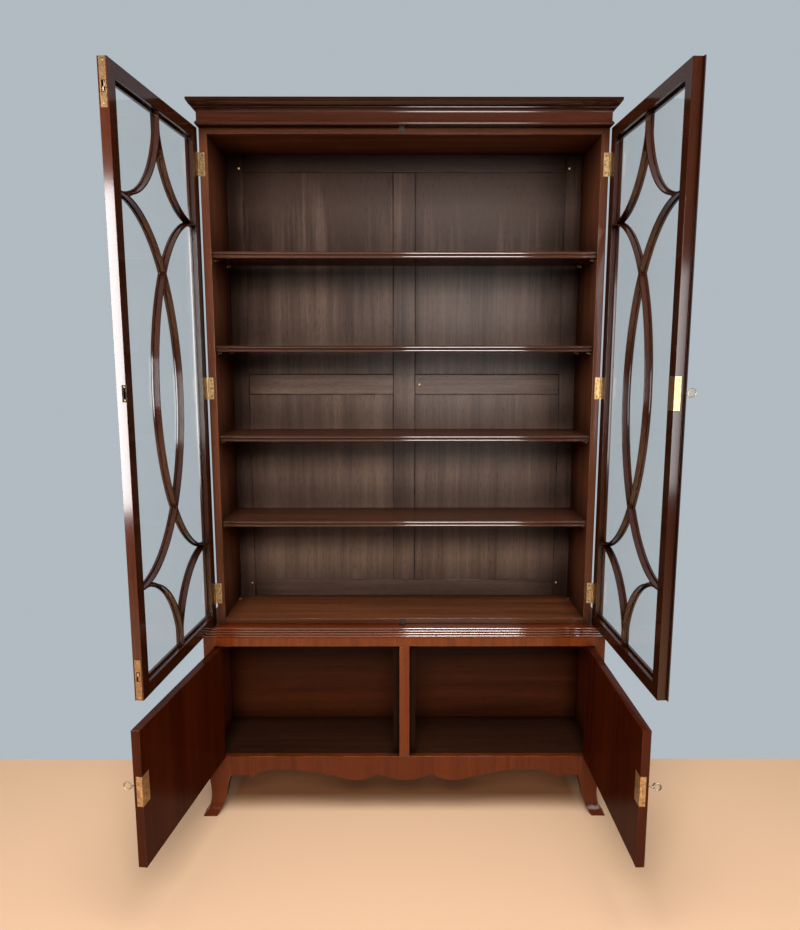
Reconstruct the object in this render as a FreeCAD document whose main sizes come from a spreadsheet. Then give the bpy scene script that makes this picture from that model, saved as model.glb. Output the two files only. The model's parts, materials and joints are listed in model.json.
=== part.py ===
import FreeCAD, Part
import math
import os
import Sketcher
from FreeCAD import Rotation, Vector

# Display cabinet: a glazed bookcase on a cupboard base, with its four doors standing open.
# Millimetres, X to the right, Y to the back, Z up. The pieces are drawn from the floor, the middle
# of the width and the plane of the back, with every door shut. Then the doors swing on their pins,
# and all moves back, so that the origin is on the floor under the middle of the opened cabinet.

doc = FreeCAD.newDocument("cabinet")

# The driving dimensions.
driving = {
    # how far the plane of the back stands behind the origin
    "back_distance": 424.0,
    # the three stages of the height
    "base_height": 602.0,
    "carcass_height": 1412.0,
    "cornice_height": 66.0,
    # upper carcass
    "upper_width": 1124.0,
    "upper_depth": 255.0,
    "side_thick": 22.0,
    "board_thick": 17.0,
    # framed back of the upper carcass
    "back_thick": 12.0,
    "back_stile_width": 50.0,
    "back_top_rail_height": 67.0,
    "back_bottom_rail_height": 70.0,
    "back_mid_rail_height": 62.0,
    "back_muntin_width": 68.0,
    "back_panel_thick": 5.0,
    "back_panel_recess": 3.5,
    "back_panel_tongue": 8.0,
    # shelves and their pegs
    "shelf_thick": 18.5,
    "shelf_depth": 212.0,
    "shelf_setback": 8.0,
    "shelf_end_gap": 1.0,
    "shelf_reed_bulge": 3.2,
    "top_shelf_height": 1087.0,
    "second_shelf_height": 827.0,
    "third_shelf_height": 569.0,
    "bottom_shelf_height": 315.0,
    "peg_radius": 3.0,
    "peg_head_radius": 4.5,
    "peg_hole_depth": 12.0,
    "peg_reach": 11.0,
    "peg_collar_thick": 2.5,
    "peg_collar_drop": 1.8,
    "peg_front_inset": 30.0,
    "peg_back_inset": 12.0,
    # cornice
    "frieze_overhang": 24.0,
    "cornice_projection": 22.5,
    "cornice_wall": 34.0,
    "cornice_bead_height": 11.0,
    "cornice_bead_reach": 4.5,
    "frieze_height": 19.0,
    "cove_height": 13.0,
    "cove_reach": 6.5,
    "cornice_step": 2.0,
    "cyma_height": 13.5,
    "cyma_reach": 12.0,
    "cornice_curve_bulge": 2.2,
    "cornice_board_thick": 9.0,
    "cornice_rail_thick": 20.0,
    # base carcass
    "base_width": 1203.0,
    "base_depth": 290.0,
    "base_side_thick": 20.0,
    "base_back_thick": 10.0,
    "base_floor_thick": 18.0,
    "base_floor_height": 189.0,
    "base_top_thick": 31.0,
    "reed_bulge": 3.0,
    "base_rail_height": 28.5,
    "face_frame_thick": 20.0,
    "end_stile_width": 30.0,
    "centre_stile_width": 30.0,
    "stop_batten_width": 66.0,
    "stop_batten_thick": 18.0,
    # shaped apron
    "apron_cusp_offset": 85.0,
    "apron_cusp_height": 131.0,
    "apron_lobe_height": 110.0,
    "apron_lobe_end": 185.0,
    "apron_lobe_end_height": 115.0,
    "apron_lobe_bulge": 13.0,
    "apron_arch_offset": 390.0,
    "apron_arch_height": 146.0,
    "apron_arch_bulge": 7.5,
    "apron_outer_cusp_offset": 467.0,
    "apron_outer_cusp_height": 121.0,
    "apron_shoulder_bulge": 9.0,
    "apron_ear_bulge": 5.0,
    "side_arch_height": 146.0,
    # splayed feet
    "foot_top_width": 66.0,
    "foot_neck_width": 53.0,
    "foot_ankle_width": 43.0,
    "foot_sole_width": 43.0,
    "foot_top_height": 124.0,
    "foot_neck_height": 90.0,
    "foot_ankle_height": 42.0,
    "foot_neck_waist": 3.5,
    "foot_ankle_waist": 2.5,
    "foot_splay": 19.0,
    # glazed doors
    "door_thick": 21.5,
    "door_end_gap": 1.5,
    "door_meeting_gap": 1.0,
    "hinge_gap": 1.0,
    "door_stile_width": 43.0,
    "door_rail_width": 38.0,
    "rebate_width": 6.0,
    "glass_depth": 12.0,
    "glass_thick": 2.0,
    "glass_edge_gap": 0.5,
    "rib_width": 4.5,
    "rib_glass_gap": 0.3,
    "astragal_width": 12.0,
    "astragal_nose_width": 6.0,
    "astragal_nose_height": 3.5,
    "bar_meeting_drop": 228.0,
    "bar_past_middle": 82.0,
    "bar_flat_run": 10.0,
    "top_bar_length": 50.0,
    "cover_bead_width": 16.0,
    "cover_bead_overlap": 7.0,
    "cover_bead_thick": 6.0,
    "cover_bead_gap": 0.4,
    # cupboard doors
    "cupboard_door_thick": 21.0,
    "cupboard_door_gap": 1.0,
    "stop_gap": 0.5,
    # butt hinges
    "hinge_height": 62.0,
    "leaf_thick": 1.2,
    "leaf_width": 14.0,
    "knuckle_radius": 2.8,
    "knuckle_gap": 0.2,
    "pin_radius": 1.4,
    "pin_gap": 0.05,
    "pin_offset": 3.0,
    "hinge_end_margin": 94.0,
    "cupboard_hinge_margin": 62.0,
    # flush bolts on the meeting edge of the left glazed door
    "bolt_plate_height": 100.0,
    "bolt_plate_width": 15.0,
    "bolt_plate_thick": 1.5,
    "bolt_rod_radius": 2.75,
    "bolt_rod_length": 90.0,
    "bolt_rod_depth": 6.5,
    "bolt_bore_gap": 0.1,
    "bolt_sunk": 0.5,
    "bolt_throw": 12.0,
    "bolt_knob_height": 8.0,
    "bolt_knob_width": 4.0,
    "bolt_knob_drop": 64.0,
    "bolt_slot_gap": 0.6,
    "keeper_width": 15.0,
    "keeper_leaf": 14.0,
    "keeper_thick": 1.2,
    "keeper_hole_gap": 0.6,
    "keeper_hole_depth": 16.0,
    # locks
    "lock_height": 76.0,
    "lock_width": 38.0,
    "lock_depth": 12.0,
    "lock_wall": 1.5,
    "lock_edge_width": 15.0,
    "lock_bolt_height": 22.0,
    "lock_bolt_thick": 3.5,
    "lock_bolt_length": 26.0,
    "lock_bolt_gap": 0.2,
    "lock_throw": 7.0,
    "mortise_end_gap": 2.0,
    "mortise_gap": 0.4,
    "strike_height": 37.0,
    "strike_width": 11.0,
    "strike_thick": 1.5,
    "key_backset": 23.0,
    "key_shank_radius": 2.0,
    "key_hole_gap": 0.3,
    "key_bit_reach": 8.0,
    "key_bit_thick": 2.0,
    "key_bit_width": 4.2,
    "key_stand_off": 18.0,
    "key_bow_radius": 9.0,
    "key_bow_wire": 1.8,
    "escutcheon_radius": 8.5,
    "escutcheon_thick": 1.0,
    "glazed_lock_height": 719.0,
    "cupboard_lock_height": 197.0,
    # screws
    "carcass_screw_inset": 29.0,
    "carcass_screw_back": 55.0,
    "carcass_screw_head": 6.5,
    "carcass_screw_shank": 3.0,
    "carcass_screw_length": 34.0,
    "carcass_screw_head_height": 2.5,
    "back_screw_head": 3.0,
    "back_screw_shank": 1.6,
    "back_screw_length": 9.0,
    "back_screw_head_height": 1.2,
    "back_screw_inset": 11.0,
    "mid_screw_offset": 14.0,
    "cut_overrun": 1.0,
}

# How far each door stands open from shut, in degrees.
opening_angles = {
    "left_door_angle": 94.9,
    "right_door_angle": 92.8,
    "left_cupboard_angle": 97.5,
    "right_cupboard_angle": 90.8,
}

sheet = doc.addObject("Spreadsheet::Sheet", "sizes")
angle_sheet = doc.addObject("Spreadsheet::Sheet", "angles")
for table, values in ((sheet, driving), (angle_sheet, opening_angles)):
    for row, (alias, value) in enumerate(values.items(), start=1):
        table.set("A%d" % row, alias)
        table.set("B%d" % row, str(value))
        table.setAlias("B%d" % row, alias)
doc.recompute()


# A size holds its value in millimetres and the expression that gives it from the sheet.
class Size:
    def __init__(self, value, text):
        self.value = value
        self.text = text

    def __add__(self, other):
        other = as_size(other)
        return Size(self.value + other.value, "(%s + %s)" % (self.text, other.text))

    def __sub__(self, other):
        other = as_size(other)
        return Size(self.value - other.value, "(%s - %s)" % (self.text, other.text))

    def __mul__(self, other):
        other = as_size(other)
        return Size(self.value * other.value, "(%s * %s)" % (self.text, other.text))

    def __truediv__(self, other):
        other = as_size(other)
        return Size(self.value / other.value, "(%s / %s)" % (self.text, other.text))

    def __neg__(self):
        return Size(-self.value, "(0 - %s)" % self.text)

    __radd__ = __add__
    __rmul__ = __mul__


def as_size(value):
    return value if isinstance(value, Size) else Size(value, "%r" % value)


class Sizes:
    def __getattr__(self, alias):
        return Size(float(sheet.get(alias)), "sizes." + alias)


s = Sizes()
nothing = as_size(0)


def bind(thing, prop, size):
    thing.setExpression(prop, as_size(size).text)


def place(thing, point):
    for letter, size in zip("xyz", point):
        bind(thing, "Placement.Base." + letter, size)


def box(name, corner, opposite):
    thing = doc.addObject("Part::Box", name)
    low = []
    for prop, one, other in zip(("Length", "Width", "Height"), corner, opposite):
        first, last = sorted((as_size(one), as_size(other)), key=lambda size: size.value)
        bind(thing, prop, last - first)
        low.append(first)
    place(thing, low)
    return thing


# A round bar from a point along a direction.
def rod(name, start, direction, length, radius):
    thing = doc.addObject("Part::Cylinder", name)
    bind(thing, "Radius", radius)
    bind(thing, "Height", length)
    thing.Placement.Rotation = Rotation(Vector(0, 0, 1), Vector(*direction))
    place(thing, start)
    return thing


def fuse(name, pieces):
    thing = doc.addObject("Part::MultiFuse", name)
    thing.Shapes = pieces
    return thing


def cut(name, base, tools):
    thing = doc.addObject("Part::Cut", name)
    thing.Base = base
    thing.Tool = tools[0] if len(tools) == 1 else fuse(name + "_tools", tools)
    return thing


nodes = []


# A finished sub-part. Its solids stay separate, and its name is the name of its file.
def node(name, pieces, swing=None):
    thing = doc.addObject("Part::Compound", name)
    thing.Label = name
    thing.Links = pieces
    if swing:
        pin_x, pin_y, turn = swing
        centre = "vector(%s; %s; 0)" % (pin_x.text, pin_y.text)
        turned = "rotation(vector(0; 0; 1); %s)" % turn
        moved = "vector(0; sizes.back_distance; 0)"
        thing.setExpression("Placement", "placement(%s; %s; %s)" % (moved, turned, centre))
    else:
        bind(thing, "Placement.Base.y", s.back_distance)
    nodes.append(thing)
    return thing


# Constrains one corner of a sketch to its place in both directions.
def pin_corner(sketch, edge, end, corner):
    for kind, size in zip(("DistanceX", "DistanceY"), corner):
        index = sketch.addConstraint(Sketcher.Constraint(kind, -1, 1, edge, end, size.value))
        sketch.setExpression("Constraints[%d]" % index, size.text)


# Draws a closed outline. Each step is a corner and the bulge of the edge that leaves it:
# zero is straight, and a positive bulge swells to the left of the way along the outline.
def draw(sketch, outline):
    steps = [(as_size(across), as_size(up), as_size(bulge)) for across, up, bulge in outline]
    ends = []
    for index, (across, up, bulge) in enumerate(steps):
        next_across, next_up, _ = steps[(index + 1) % len(steps)]
        first = Vector(across.value, up.value, 0)
        last = Vector(next_across.value, next_up.value, 0)
        if bulge.value == 0:
            sketch.addGeometry(Part.LineSegment(first, last))
            ends.append((1, 2))
        else:
            along = (last - first).normalize()
            crown = (first + last) * 0.5 + Vector(-along.y, along.x, 0) * bulge.value
            if bulge.value > 0:
                sketch.addGeometry(Part.Arc(last, crown, first))
                ends.append((2, 1))
            else:
                sketch.addGeometry(Part.Arc(first, crown, last))
                ends.append((1, 2))
            width = next_across - across
            rise = next_up - up
            reach = bulge if bulge.value > 0 else -bulge
            radius = ((width * width + rise * rise) / 4 + reach * reach) / (reach * 2)
            number = sketch.addConstraint(Sketcher.Constraint("Radius", index, radius.value))
            sketch.setExpression("Constraints[%d]" % number, radius.text)
    for index, (across, up, bulge) in enumerate(steps):
        before = (index - 1) % len(steps)
        joint = Sketcher.Constraint("Coincident", before, ends[before][1], index, ends[index][0])
        sketch.addConstraint(joint)
        pin_corner(sketch, index, ends[index][0], (across, up))


def sketch_on(body, name, plane):
    sketch = body.newObject("Sketcher::SketchObject", name)
    origin = [item for item in body.Origin.OriginFeatures if item.Role == plane][0]
    sketch.AttachmentSupport = (origin, [""])
    sketch.MapMode = "FlatFace"
    return sketch


# A length of moulding or a shaped board: an outline padded square to its plane.
# YZ_Plane pads towards +X, XZ_Plane towards -Y and XY_Plane towards +Z.
def padded(name, plane, outline, start, length):
    body = doc.addObject("PartDesign::Body", name)
    sketch = sketch_on(body, name + "_sketch", plane)
    draw(sketch, outline)
    pad = body.newObject("PartDesign::Pad", name + "_pad")
    pad.Profile = sketch
    bind(pad, "Length", length)
    place(body, start)
    return body


# Shared places.
upper_half = s.upper_width / 2
inner_half = upper_half - s.side_thick
upper_front = -s.upper_depth
carcass_top = s.base_height + s.carcass_height
floor_top = s.base_height + s.board_thick
ceiling = carcass_top - s.board_thick
cabinet_top = carcass_top + s.cornice_height
back_inner = -s.back_thick
base_half = s.base_width / 2
base_front = -s.base_depth
base_inner_half = base_half - s.base_side_thick
base_top_under = s.base_height - s.base_top_thick
opening_top = base_top_under - s.base_rail_height
opening_half = base_half - s.end_stile_width
face_back = base_front + s.face_frame_thick
door_foot = s.base_height + s.door_end_gap
door_head = carcass_top - s.door_end_gap
door_inner = upper_front - s.hinge_gap
door_outer = door_inner - s.door_thick
door_pin_x = upper_half + s.pin_offset
door_pin_y = upper_front - s.hinge_gap / 2
cupboard_inner = base_front + s.cupboard_door_thick
cupboard_edge = s.centre_stile_width / 2 + s.cupboard_door_gap
cupboard_pin_x = opening_half - s.cupboard_door_gap / 2
cupboard_pin_y = base_front - s.pin_offset
bolt_x = -(s.door_meeting_gap / 2 + s.bolt_rod_depth)
bolt_y = door_inner - s.door_thick / 2

turns = {
    "left_door": "-angles.left_door_angle",
    "right_door": "angles.right_door_angle",
    "left_cupboard": "-angles.left_cupboard_angle",
    "right_cupboard": "angles.right_cupboard_angle",
}


def door_swing(side):
    turn = turns["left_door"] if side < 0 else turns["right_door"]
    return (door_pin_x * side, door_pin_y, turn)


def cupboard_swing(side):
    turn = turns["left_cupboard"] if side < 0 else turns["right_cupboard"]
    return (cupboard_pin_x * side, cupboard_pin_y, turn)


# Hinges: heights of their middles, and the knuckles of each leaf.
door_hinge_heights = (
    door_foot + s.hinge_end_margin,
    (door_foot + door_head) / 2,
    door_head - s.hinge_end_margin,
)
cupboard_foot = s.base_floor_height + s.cupboard_door_gap
cupboard_head = opening_top - s.cupboard_door_gap
cupboard_hinge_heights = (
    cupboard_foot + s.cupboard_hinge_margin,
    cupboard_head - s.cupboard_hinge_margin,
)
knuckle_count = 5
knuckle_pitch = s.hinge_height / knuckle_count


# One leaf: its plate, and its own knuckles joined to it. The plate runs from the pin's side.
def hinge_leaf(name, pin, plate_corner, plate_opposite, link, middle, own_knuckles):
    pieces = [box(name + "_plate", plate_corner, plate_opposite)]
    bore_radius = s.pin_radius + s.pin_gap
    for number in own_knuckles:
        low = middle - s.hinge_height / 2 + knuckle_pitch * number + s.knuckle_gap / 2
        tall = knuckle_pitch - s.knuckle_gap
        part_name = "%s_knuckle_%d" % (name, number)
        pieces.append(rod(part_name, (pin[0], pin[1], low), (0, 0, 1), tall, s.knuckle_radius))
        (link_x, link_y), (link_far_x, link_far_y) = link
        near = (link_x, link_y, low)
        far = (link_far_x, link_far_y, low + tall)
        pieces.append(box("%s_link_%d" % (name, number), near, far))
    whole = fuse(name + "_whole", pieces)
    start = (pin[0], pin[1], middle - s.hinge_height / 2 - s.cut_overrun)
    bore = rod(name + "_bore", start, (0, 0, 1), s.hinge_height + s.cut_overrun * 2, bore_radius)
    return cut(name, whole, [bore])


fixed_numbers = (0, 2, 4)
moving_numbers = (1, 3)
fixed_leaves = []
pins = []
door_leaves = {}
carcass_recesses = {}
door_recesses = {}
stile_recesses = {}
cupboard_recesses = {}


def hinge_pin(name, pin, middle):
    start = (pin[0], pin[1], middle - s.hinge_height / 2)
    pins.append(rod(name, start, (0, 0, 1), s.hinge_height, s.pin_radius))


# The glazed doors' hinges lie on the front edge of the sides and on the doors' inner faces.
def door_hinges(side):
    key = "left" if side < 0 else "right"
    pin = (door_pin_x * side, door_pin_y)
    near = upper_half * side
    far = (upper_half - s.leaf_width) * side
    fixed_y = (upper_front, upper_front + s.leaf_thick)
    moving_y = (door_inner, door_inner - s.leaf_thick)
    door_leaves[key] = []
    carcass_recesses[key] = []
    door_recesses[key] = []
    for number, middle in enumerate(door_hinge_heights):
        low = middle - s.hinge_height / 2
        high = middle + s.hinge_height / 2
        label = "%s_door_hinge_%d" % (key, number)
        leaves = (("fixed", fixed_y, fixed_numbers), ("moving", moving_y, moving_numbers))
        for kind, span, numbers in leaves:
            corner = (near, span[0], low)
            opposite = (far, span[1], high)
            link = ((pin[0], span[0]), (near, span[1]))
            leaf = hinge_leaf("%s_%s" % (label, kind), pin, corner, opposite, link, middle, numbers)
            recess = box("%s_%s_recess" % (label, kind), corner, opposite)
            if kind == "fixed":
                fixed_leaves.append(leaf)
                carcass_recesses[key].append(recess)
            else:
                door_leaves[key].append(leaf)
                door_recesses[key].append(recess)
        hinge_pin(label + "_pin", pin, middle)


# The cupboard doors' hinges lie in the gap between the end stile and the door's edge.
def cupboard_hinges(side):
    key = "left_cupboard" if side < 0 else "right_cupboard"
    pin = (cupboard_pin_x * side, cupboard_pin_y)
    stile_face = opening_half * side
    door_face = (opening_half - s.cupboard_door_gap) * side
    fixed_x = (stile_face, stile_face + s.leaf_thick * side)
    moving_x = (door_face, door_face - s.leaf_thick * side)
    door_leaves[key] = []
    stile_recesses[key] = []
    cupboard_recesses[key] = []
    back_y = base_front + s.leaf_width
    for number, middle in enumerate(cupboard_hinge_heights):
        low = middle - s.hinge_height / 2
        high = middle + s.hinge_height / 2
        label = "%s_hinge_%d" % (key, number)
        leaves = (("fixed", fixed_x, fixed_numbers), ("moving", moving_x, moving_numbers))
        for kind, span, numbers in leaves:
            corner = (span[0], base_front, low)
            opposite = (span[1], back_y, high)
            link = ((span[0], pin[1]), (span[1], base_front))
            leaf = hinge_leaf("%s_%s" % (label, kind), pin, corner, opposite, link, middle, numbers)
            recess = box("%s_%s_recess" % (label, kind), corner, opposite)
            if kind == "fixed":
                fixed_leaves.append(leaf)
                stile_recesses[key].append(recess)
            else:
                door_leaves[key].append(leaf)
                cupboard_recesses[key].append(recess)
        hinge_pin(label + "_pin", pin, middle)


for side in (-1, 1):
    door_hinges(side)
    cupboard_hinges(side)

# Shelf pegs sit in blind holes in the sides, two to an end of each shelf.
shelf_rises = (s.top_shelf_height, s.second_shelf_height, s.third_shelf_height, s.bottom_shelf_height)
shelf_front = upper_front + s.shelf_setback
shelf_back = shelf_front + s.shelf_depth
peg_places = (shelf_front + s.peg_front_inset, shelf_back - s.peg_back_inset)
pegs = []
peg_holes = {-1: [], 1: []}
for number, rise in enumerate(shelf_rises, start=1):
    peg_height = s.base_height + rise - s.shelf_thick - s.peg_radius
    for side in (-1, 1):
        for which, peg_y in enumerate(peg_places):
            label = "peg_%d_%d_%d" % (number, side + 1, which)
            deep = (inner_half + s.peg_hole_depth) * side
            inwards = (-side, 0, 0)
            run = s.peg_hole_depth + s.peg_reach
            pin_part = rod(label + "_pin", (deep, peg_y, peg_height), inwards, run, s.peg_radius)
            collar_start = (inner_half * side, peg_y, peg_height - s.peg_collar_drop)
            collar = rod(label + "_collar", collar_start, inwards, s.peg_collar_thick, s.peg_head_radius)
            pegs.append(fuse(label, [pin_part, collar]))
            hole = rod(label + "_hole", (deep, peg_y, peg_height), inwards, s.peg_hole_depth, s.peg_radius)
            peg_holes[side].append(hole)

# Screws: two through the upper floor into the base, and five in the framed back.
screws = []
floor_holes = []
back_holes = []
for side in (-1, 1):
    screw_x = (upper_half - s.carcass_screw_inset) * side
    label = "carcass_screw_%d" % (side + 1)
    under_head = floor_top - s.carcass_screw_head_height
    middle = (screw_x, -s.carcass_screw_back, under_head)
    head = rod(label + "_head", middle, (0, 0, 1), s.carcass_screw_head_height, s.carcass_screw_head)
    shank_start = (screw_x, -s.carcass_screw_back, floor_top - s.carcass_screw_length)
    shank_run = s.carcass_screw_length - s.carcass_screw_head_height
    shank = rod(label + "_shank", shank_start, (0, 0, 1), shank_run, s.carcass_screw_shank)
    screw = fuse(label, [head, shank])
    screws.append(screw)
    floor_holes.append(screw)

panel_half = inner_half - s.back_stile_width
muntin_half = s.back_muntin_width / 2
back_top_edge = carcass_top - s.back_top_rail_height
back_bottom_edge = s.base_height + s.back_bottom_rail_height
back_middle = (back_top_edge + back_bottom_edge) / 2
corner_out = panel_half + s.back_screw_inset
back_screw_places = (
    (-corner_out, back_bottom_edge - s.back_screw_inset),
    (corner_out, back_bottom_edge - s.back_screw_inset),
    (-corner_out, back_top_edge + s.back_screw_inset),
    (corner_out, back_top_edge + s.back_screw_inset),
    (muntin_half + s.mid_screw_offset, back_middle),
)
for number, (screw_x, screw_z) in enumerate(back_screw_places):
    label = "back_screw_%d" % number
    head_start = (screw_x, back_inner - s.back_screw_head_height, screw_z)
    head = rod(label + "_head", head_start, (0, 1, 0), s.back_screw_head_height, s.back_screw_head)
    shank_start = (screw_x, back_inner, screw_z)
    shank = rod(label + "_shank", shank_start, (0, 1, 0), s.back_screw_length, s.back_screw_shank)
    screw = fuse(label, [head, shank])
    screws.append(screw)
    back_holes.append(screw)

# Keepers for the flush bolts: an angle let into the carcass front and the face beyond the door.
keepers = []
for number, (level, away) in enumerate(((carcass_top, 1), (s.base_height, -1))):
    label = "keeper_%d" % number
    low_x = bolt_x - s.keeper_width / 2
    high_x = bolt_x + s.keeper_width / 2
    leaf_front = bolt_y - s.keeper_leaf / 2
    leaf_back = upper_front + s.keeper_thick
    flat_end = level + s.keeper_thick * away
    flat = box(label + "_flat", (low_x, leaf_front, level), (high_x, leaf_back, flat_end))
    upright_end = level - s.keeper_leaf * away
    upright = box(label + "_upright", (low_x, upper_front, upright_end), (high_x, leaf_back, level))
    whole = fuse(label + "_whole", [flat, upright])
    hole_radius = s.bolt_rod_radius + s.keeper_hole_gap
    hole = rod(label + "_hole", (bolt_x, bolt_y, level), (0, 0, away), s.keeper_hole_depth, hole_radius)
    keepers.append({"keeper": cut(label, whole, [hole]), "solid": whole, "hole": hole})


# The carcass of the upper stage.
for side, name in ((-1, "upper_left_side"), (1, "upper_right_side")):
    corner = (upper_half * side, upper_front, s.base_height)
    blank = box(name + "_blank", corner, (inner_half * side, 0, carcass_top))
    key = "left" if side < 0 else "right"
    node(name, [cut(name + "_cut", blank, carcass_recesses[key] + peg_holes[side])])

blank = box("top_board_blank", (-inner_half, upper_front, ceiling), (inner_half, back_inner, carcass_top))
node("upper_top_board", [cut("top_board_cut", blank, [keepers[0]["solid"]])])
corner = (-inner_half, upper_front, s.base_height)
blank = box("bottom_board_blank", corner, (inner_half, back_inner, floor_top))
node("upper_bottom_board", [cut("bottom_board_cut", blank, floor_holes + [keepers[1]["solid"]])])

# The framed back: the panels' edges run in grooves round each opening.
panel_front = back_inner + s.back_panel_recess
panel_rear = panel_front + s.back_panel_thick
panels = []
panel_columns = ((-panel_half, -muntin_half), (muntin_half, panel_half))
half_mid_rail = s.back_mid_rail_height / 2
panel_rows = ((back_bottom_edge, back_middle - half_mid_rail), (back_middle + half_mid_rail, back_top_edge))
for column, (left, right) in enumerate(panel_columns):
    for row, (low, high) in enumerate(panel_rows):
        corner = (left - s.back_panel_tongue, panel_front, low - s.back_panel_tongue)
        opposite = (right + s.back_panel_tongue, panel_rear, high + s.back_panel_tongue)
        panels.append(box("back_panel_%d_%d" % (column, row), corner, opposite))

frame_blanks = {
    "back_left_stile": ((-inner_half, back_inner, s.base_height), (-panel_half, 0, carcass_top)),
    "back_right_stile": ((panel_half, back_inner, s.base_height), (inner_half, 0, carcass_top)),
    "back_top_rail": ((-panel_half, back_inner, back_top_edge), (panel_half, 0, carcass_top)),
    "back_bottom_rail": ((-panel_half, back_inner, s.base_height), (panel_half, 0, back_bottom_edge)),
    "back_left_mid_rail": ((-panel_half, back_inner, back_middle - half_mid_rail),
                           (-muntin_half, 0, back_middle + half_mid_rail)),
    "back_right_mid_rail": ((muntin_half, back_inner, back_middle - half_mid_rail),
                            (panel_half, 0, back_middle + half_mid_rail)),
    "back_muntin": ((-muntin_half, back_inner, back_bottom_edge), (muntin_half, 0, back_top_edge)),
}
frame = []
for name, (corner, opposite) in frame_blanks.items():
    blank = box(name + "_blank", corner, opposite)
    frame.append(cut(name, blank, panels + back_holes))
node("back_frame", frame)
node("back_panels", panels)

# Shelves, each with two reeds along the front edge.
shelf_half = inner_half - s.shelf_end_gap
for number, rise in enumerate(shelf_rises, start=1):
    top = s.base_height + rise
    nose = shelf_front + s.shelf_reed_bulge
    outline = (
        (nose, top, -s.shelf_reed_bulge),
        (nose, top - s.shelf_thick / 2, -s.shelf_reed_bulge),
        (nose, top - s.shelf_thick, 0),
        (shelf_back, top - s.shelf_thick, 0),
        (shelf_back, top, 0),
    )
    name = "shelf_%d" % number
    node(name, [padded(name + "_board", "YZ_Plane", outline, (-shelf_half, 0, 0), shelf_half * 2)])
node("shelf_pegs", pegs)

# Cornice: one profile, mitred at the two front corners.
frieze_front = upper_front - s.frieze_overhang


# The profile from the inner face outwards. Distances are measured out from the frieze.
def cornice_profile(face, outwards):
    def at(out):
        return face + out * outwards

    foot = carcass_top
    frieze_foot = foot + s.cornice_bead_height
    frieze_head = frieze_foot + s.frieze_height
    cove_head = frieze_head + s.cove_height
    cyma_foot = cove_head + s.cornice_step
    cyma_head = cyma_foot + s.cyma_height
    cyma_foot_reach = s.cove_reach + s.cornice_step
    cyma_head_reach = cyma_foot_reach + s.cyma_reach
    swell = -outwards
    return (
        (face - s.cornice_wall * outwards, foot, 0),
        (face, foot, s.cornice_bead_reach * swell),
        (face, frieze_foot, 0),
        (face, frieze_head, s.cornice_curve_bulge * outwards),
        (at(s.cove_reach), cove_head, 0),
        (at(cyma_foot_reach), cove_head, 0),
        (at(cyma_foot_reach), cyma_foot, s.cornice_curve_bulge * swell),
        (at(cyma_head_reach), cyma_head, 0),
        (at(s.cornice_projection), cyma_head, 0),
        (at(s.cornice_projection), cabinet_top, 0),
        (face - s.cornice_wall * outwards, cabinet_top, 0),
    )


tip_half = upper_half + s.cornice_projection
tip_front = frieze_front - s.cornice_projection
wall_half = upper_half - s.cornice_wall
wall_front = frieze_front + s.cornice_wall
front_profile = cornice_profile(frieze_front, -1)
front_run = padded("cornice_front_run", "YZ_Plane", front_profile, (-tip_half, 0, 0), tip_half * 2)
front_plan = (
    (-tip_half, tip_front, 0),
    (tip_half, tip_front, 0),
    (wall_half, wall_front, 0),
    (-wall_half, wall_front, 0),
)
mitre = padded("cornice_mitre", "XY_Plane", front_plan, (0, 0, carcass_top), s.cornice_height)
common = doc.addObject("Part::MultiCommon", "cornice_front_mitred")
common.Shapes = [front_run, mitre]
board_foot = cabinet_top - s.cornice_board_thick
seat_half = upper_half - s.cornice_wall / 2
seat_front = frieze_front + s.cornice_wall / 2
cornice_board = box("cornice_board", (-seat_half, seat_front, board_foot), (seat_half, 0, cabinet_top))
front_cuts = [keepers[0]["solid"], keepers[0]["hole"], cornice_board]
node("cornice_front", [cut("cornice_front_cut", common, front_cuts)])
returns = []
for side in (-1, 1):
    name = "cornice_return_%d" % (side + 1)
    run = padded(name + "_run", "XZ_Plane", cornice_profile(upper_half * side, side), (0, 0, 0), -tip_front)
    returns.append(cut(name, run, [mitre, cornice_board]))
node("cornice_returns", returns)
rail_front = -s.cornice_rail_thick
rail_corner = (-wall_half, rail_front, carcass_top)
node("cornice_back_rail", [box("cornice_rail", rail_corner, (wall_half, 0, board_foot))])
node("cornice_top_board", [cornice_board])

# Base carcass.
reed_front = base_front - s.reed_bulge
reed_half = base_half + s.reed_bulge
reed_count = 4
reed_pitch = s.base_top_thick / reed_count


# The reeded edge, on a face at the given place and swelling outwards.
def reeded_profile(face, inner, outwards):
    steps = [(inner, base_top_under, 0)]
    for number in range(reed_count):
        steps.append((face, base_top_under + reed_pitch * number, -s.reed_bulge * outwards))
    steps.append((face, s.base_height, 0))
    steps.append((inner, s.base_height, 0))
    return steps


front_edge = reeded_profile(base_front, nothing, -1)
front_reeds = padded("front_reeds", "YZ_Plane", front_edge, (-reed_half, 0, 0), reed_half * 2)
side_reeds = []
for side in (-1, 1):
    profile = reeded_profile(base_half * side, nothing, side)
    side_reeds.append(padded("side_reeds_%d" % (side + 1), "XZ_Plane", profile, (0, 0, 0), -reed_front))
slab = fuse("base_top_sides", side_reeds)
reeded_top = doc.addObject("Part::MultiCommon", "base_top_reeded")
reeded_top.Shapes = [front_reeds, slab]
top_cuts = floor_holes + [keepers[1]["solid"], keepers[1]["hole"]]
node("base_top", [cut("base_top_cut", reeded_top, top_cuts)])

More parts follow.
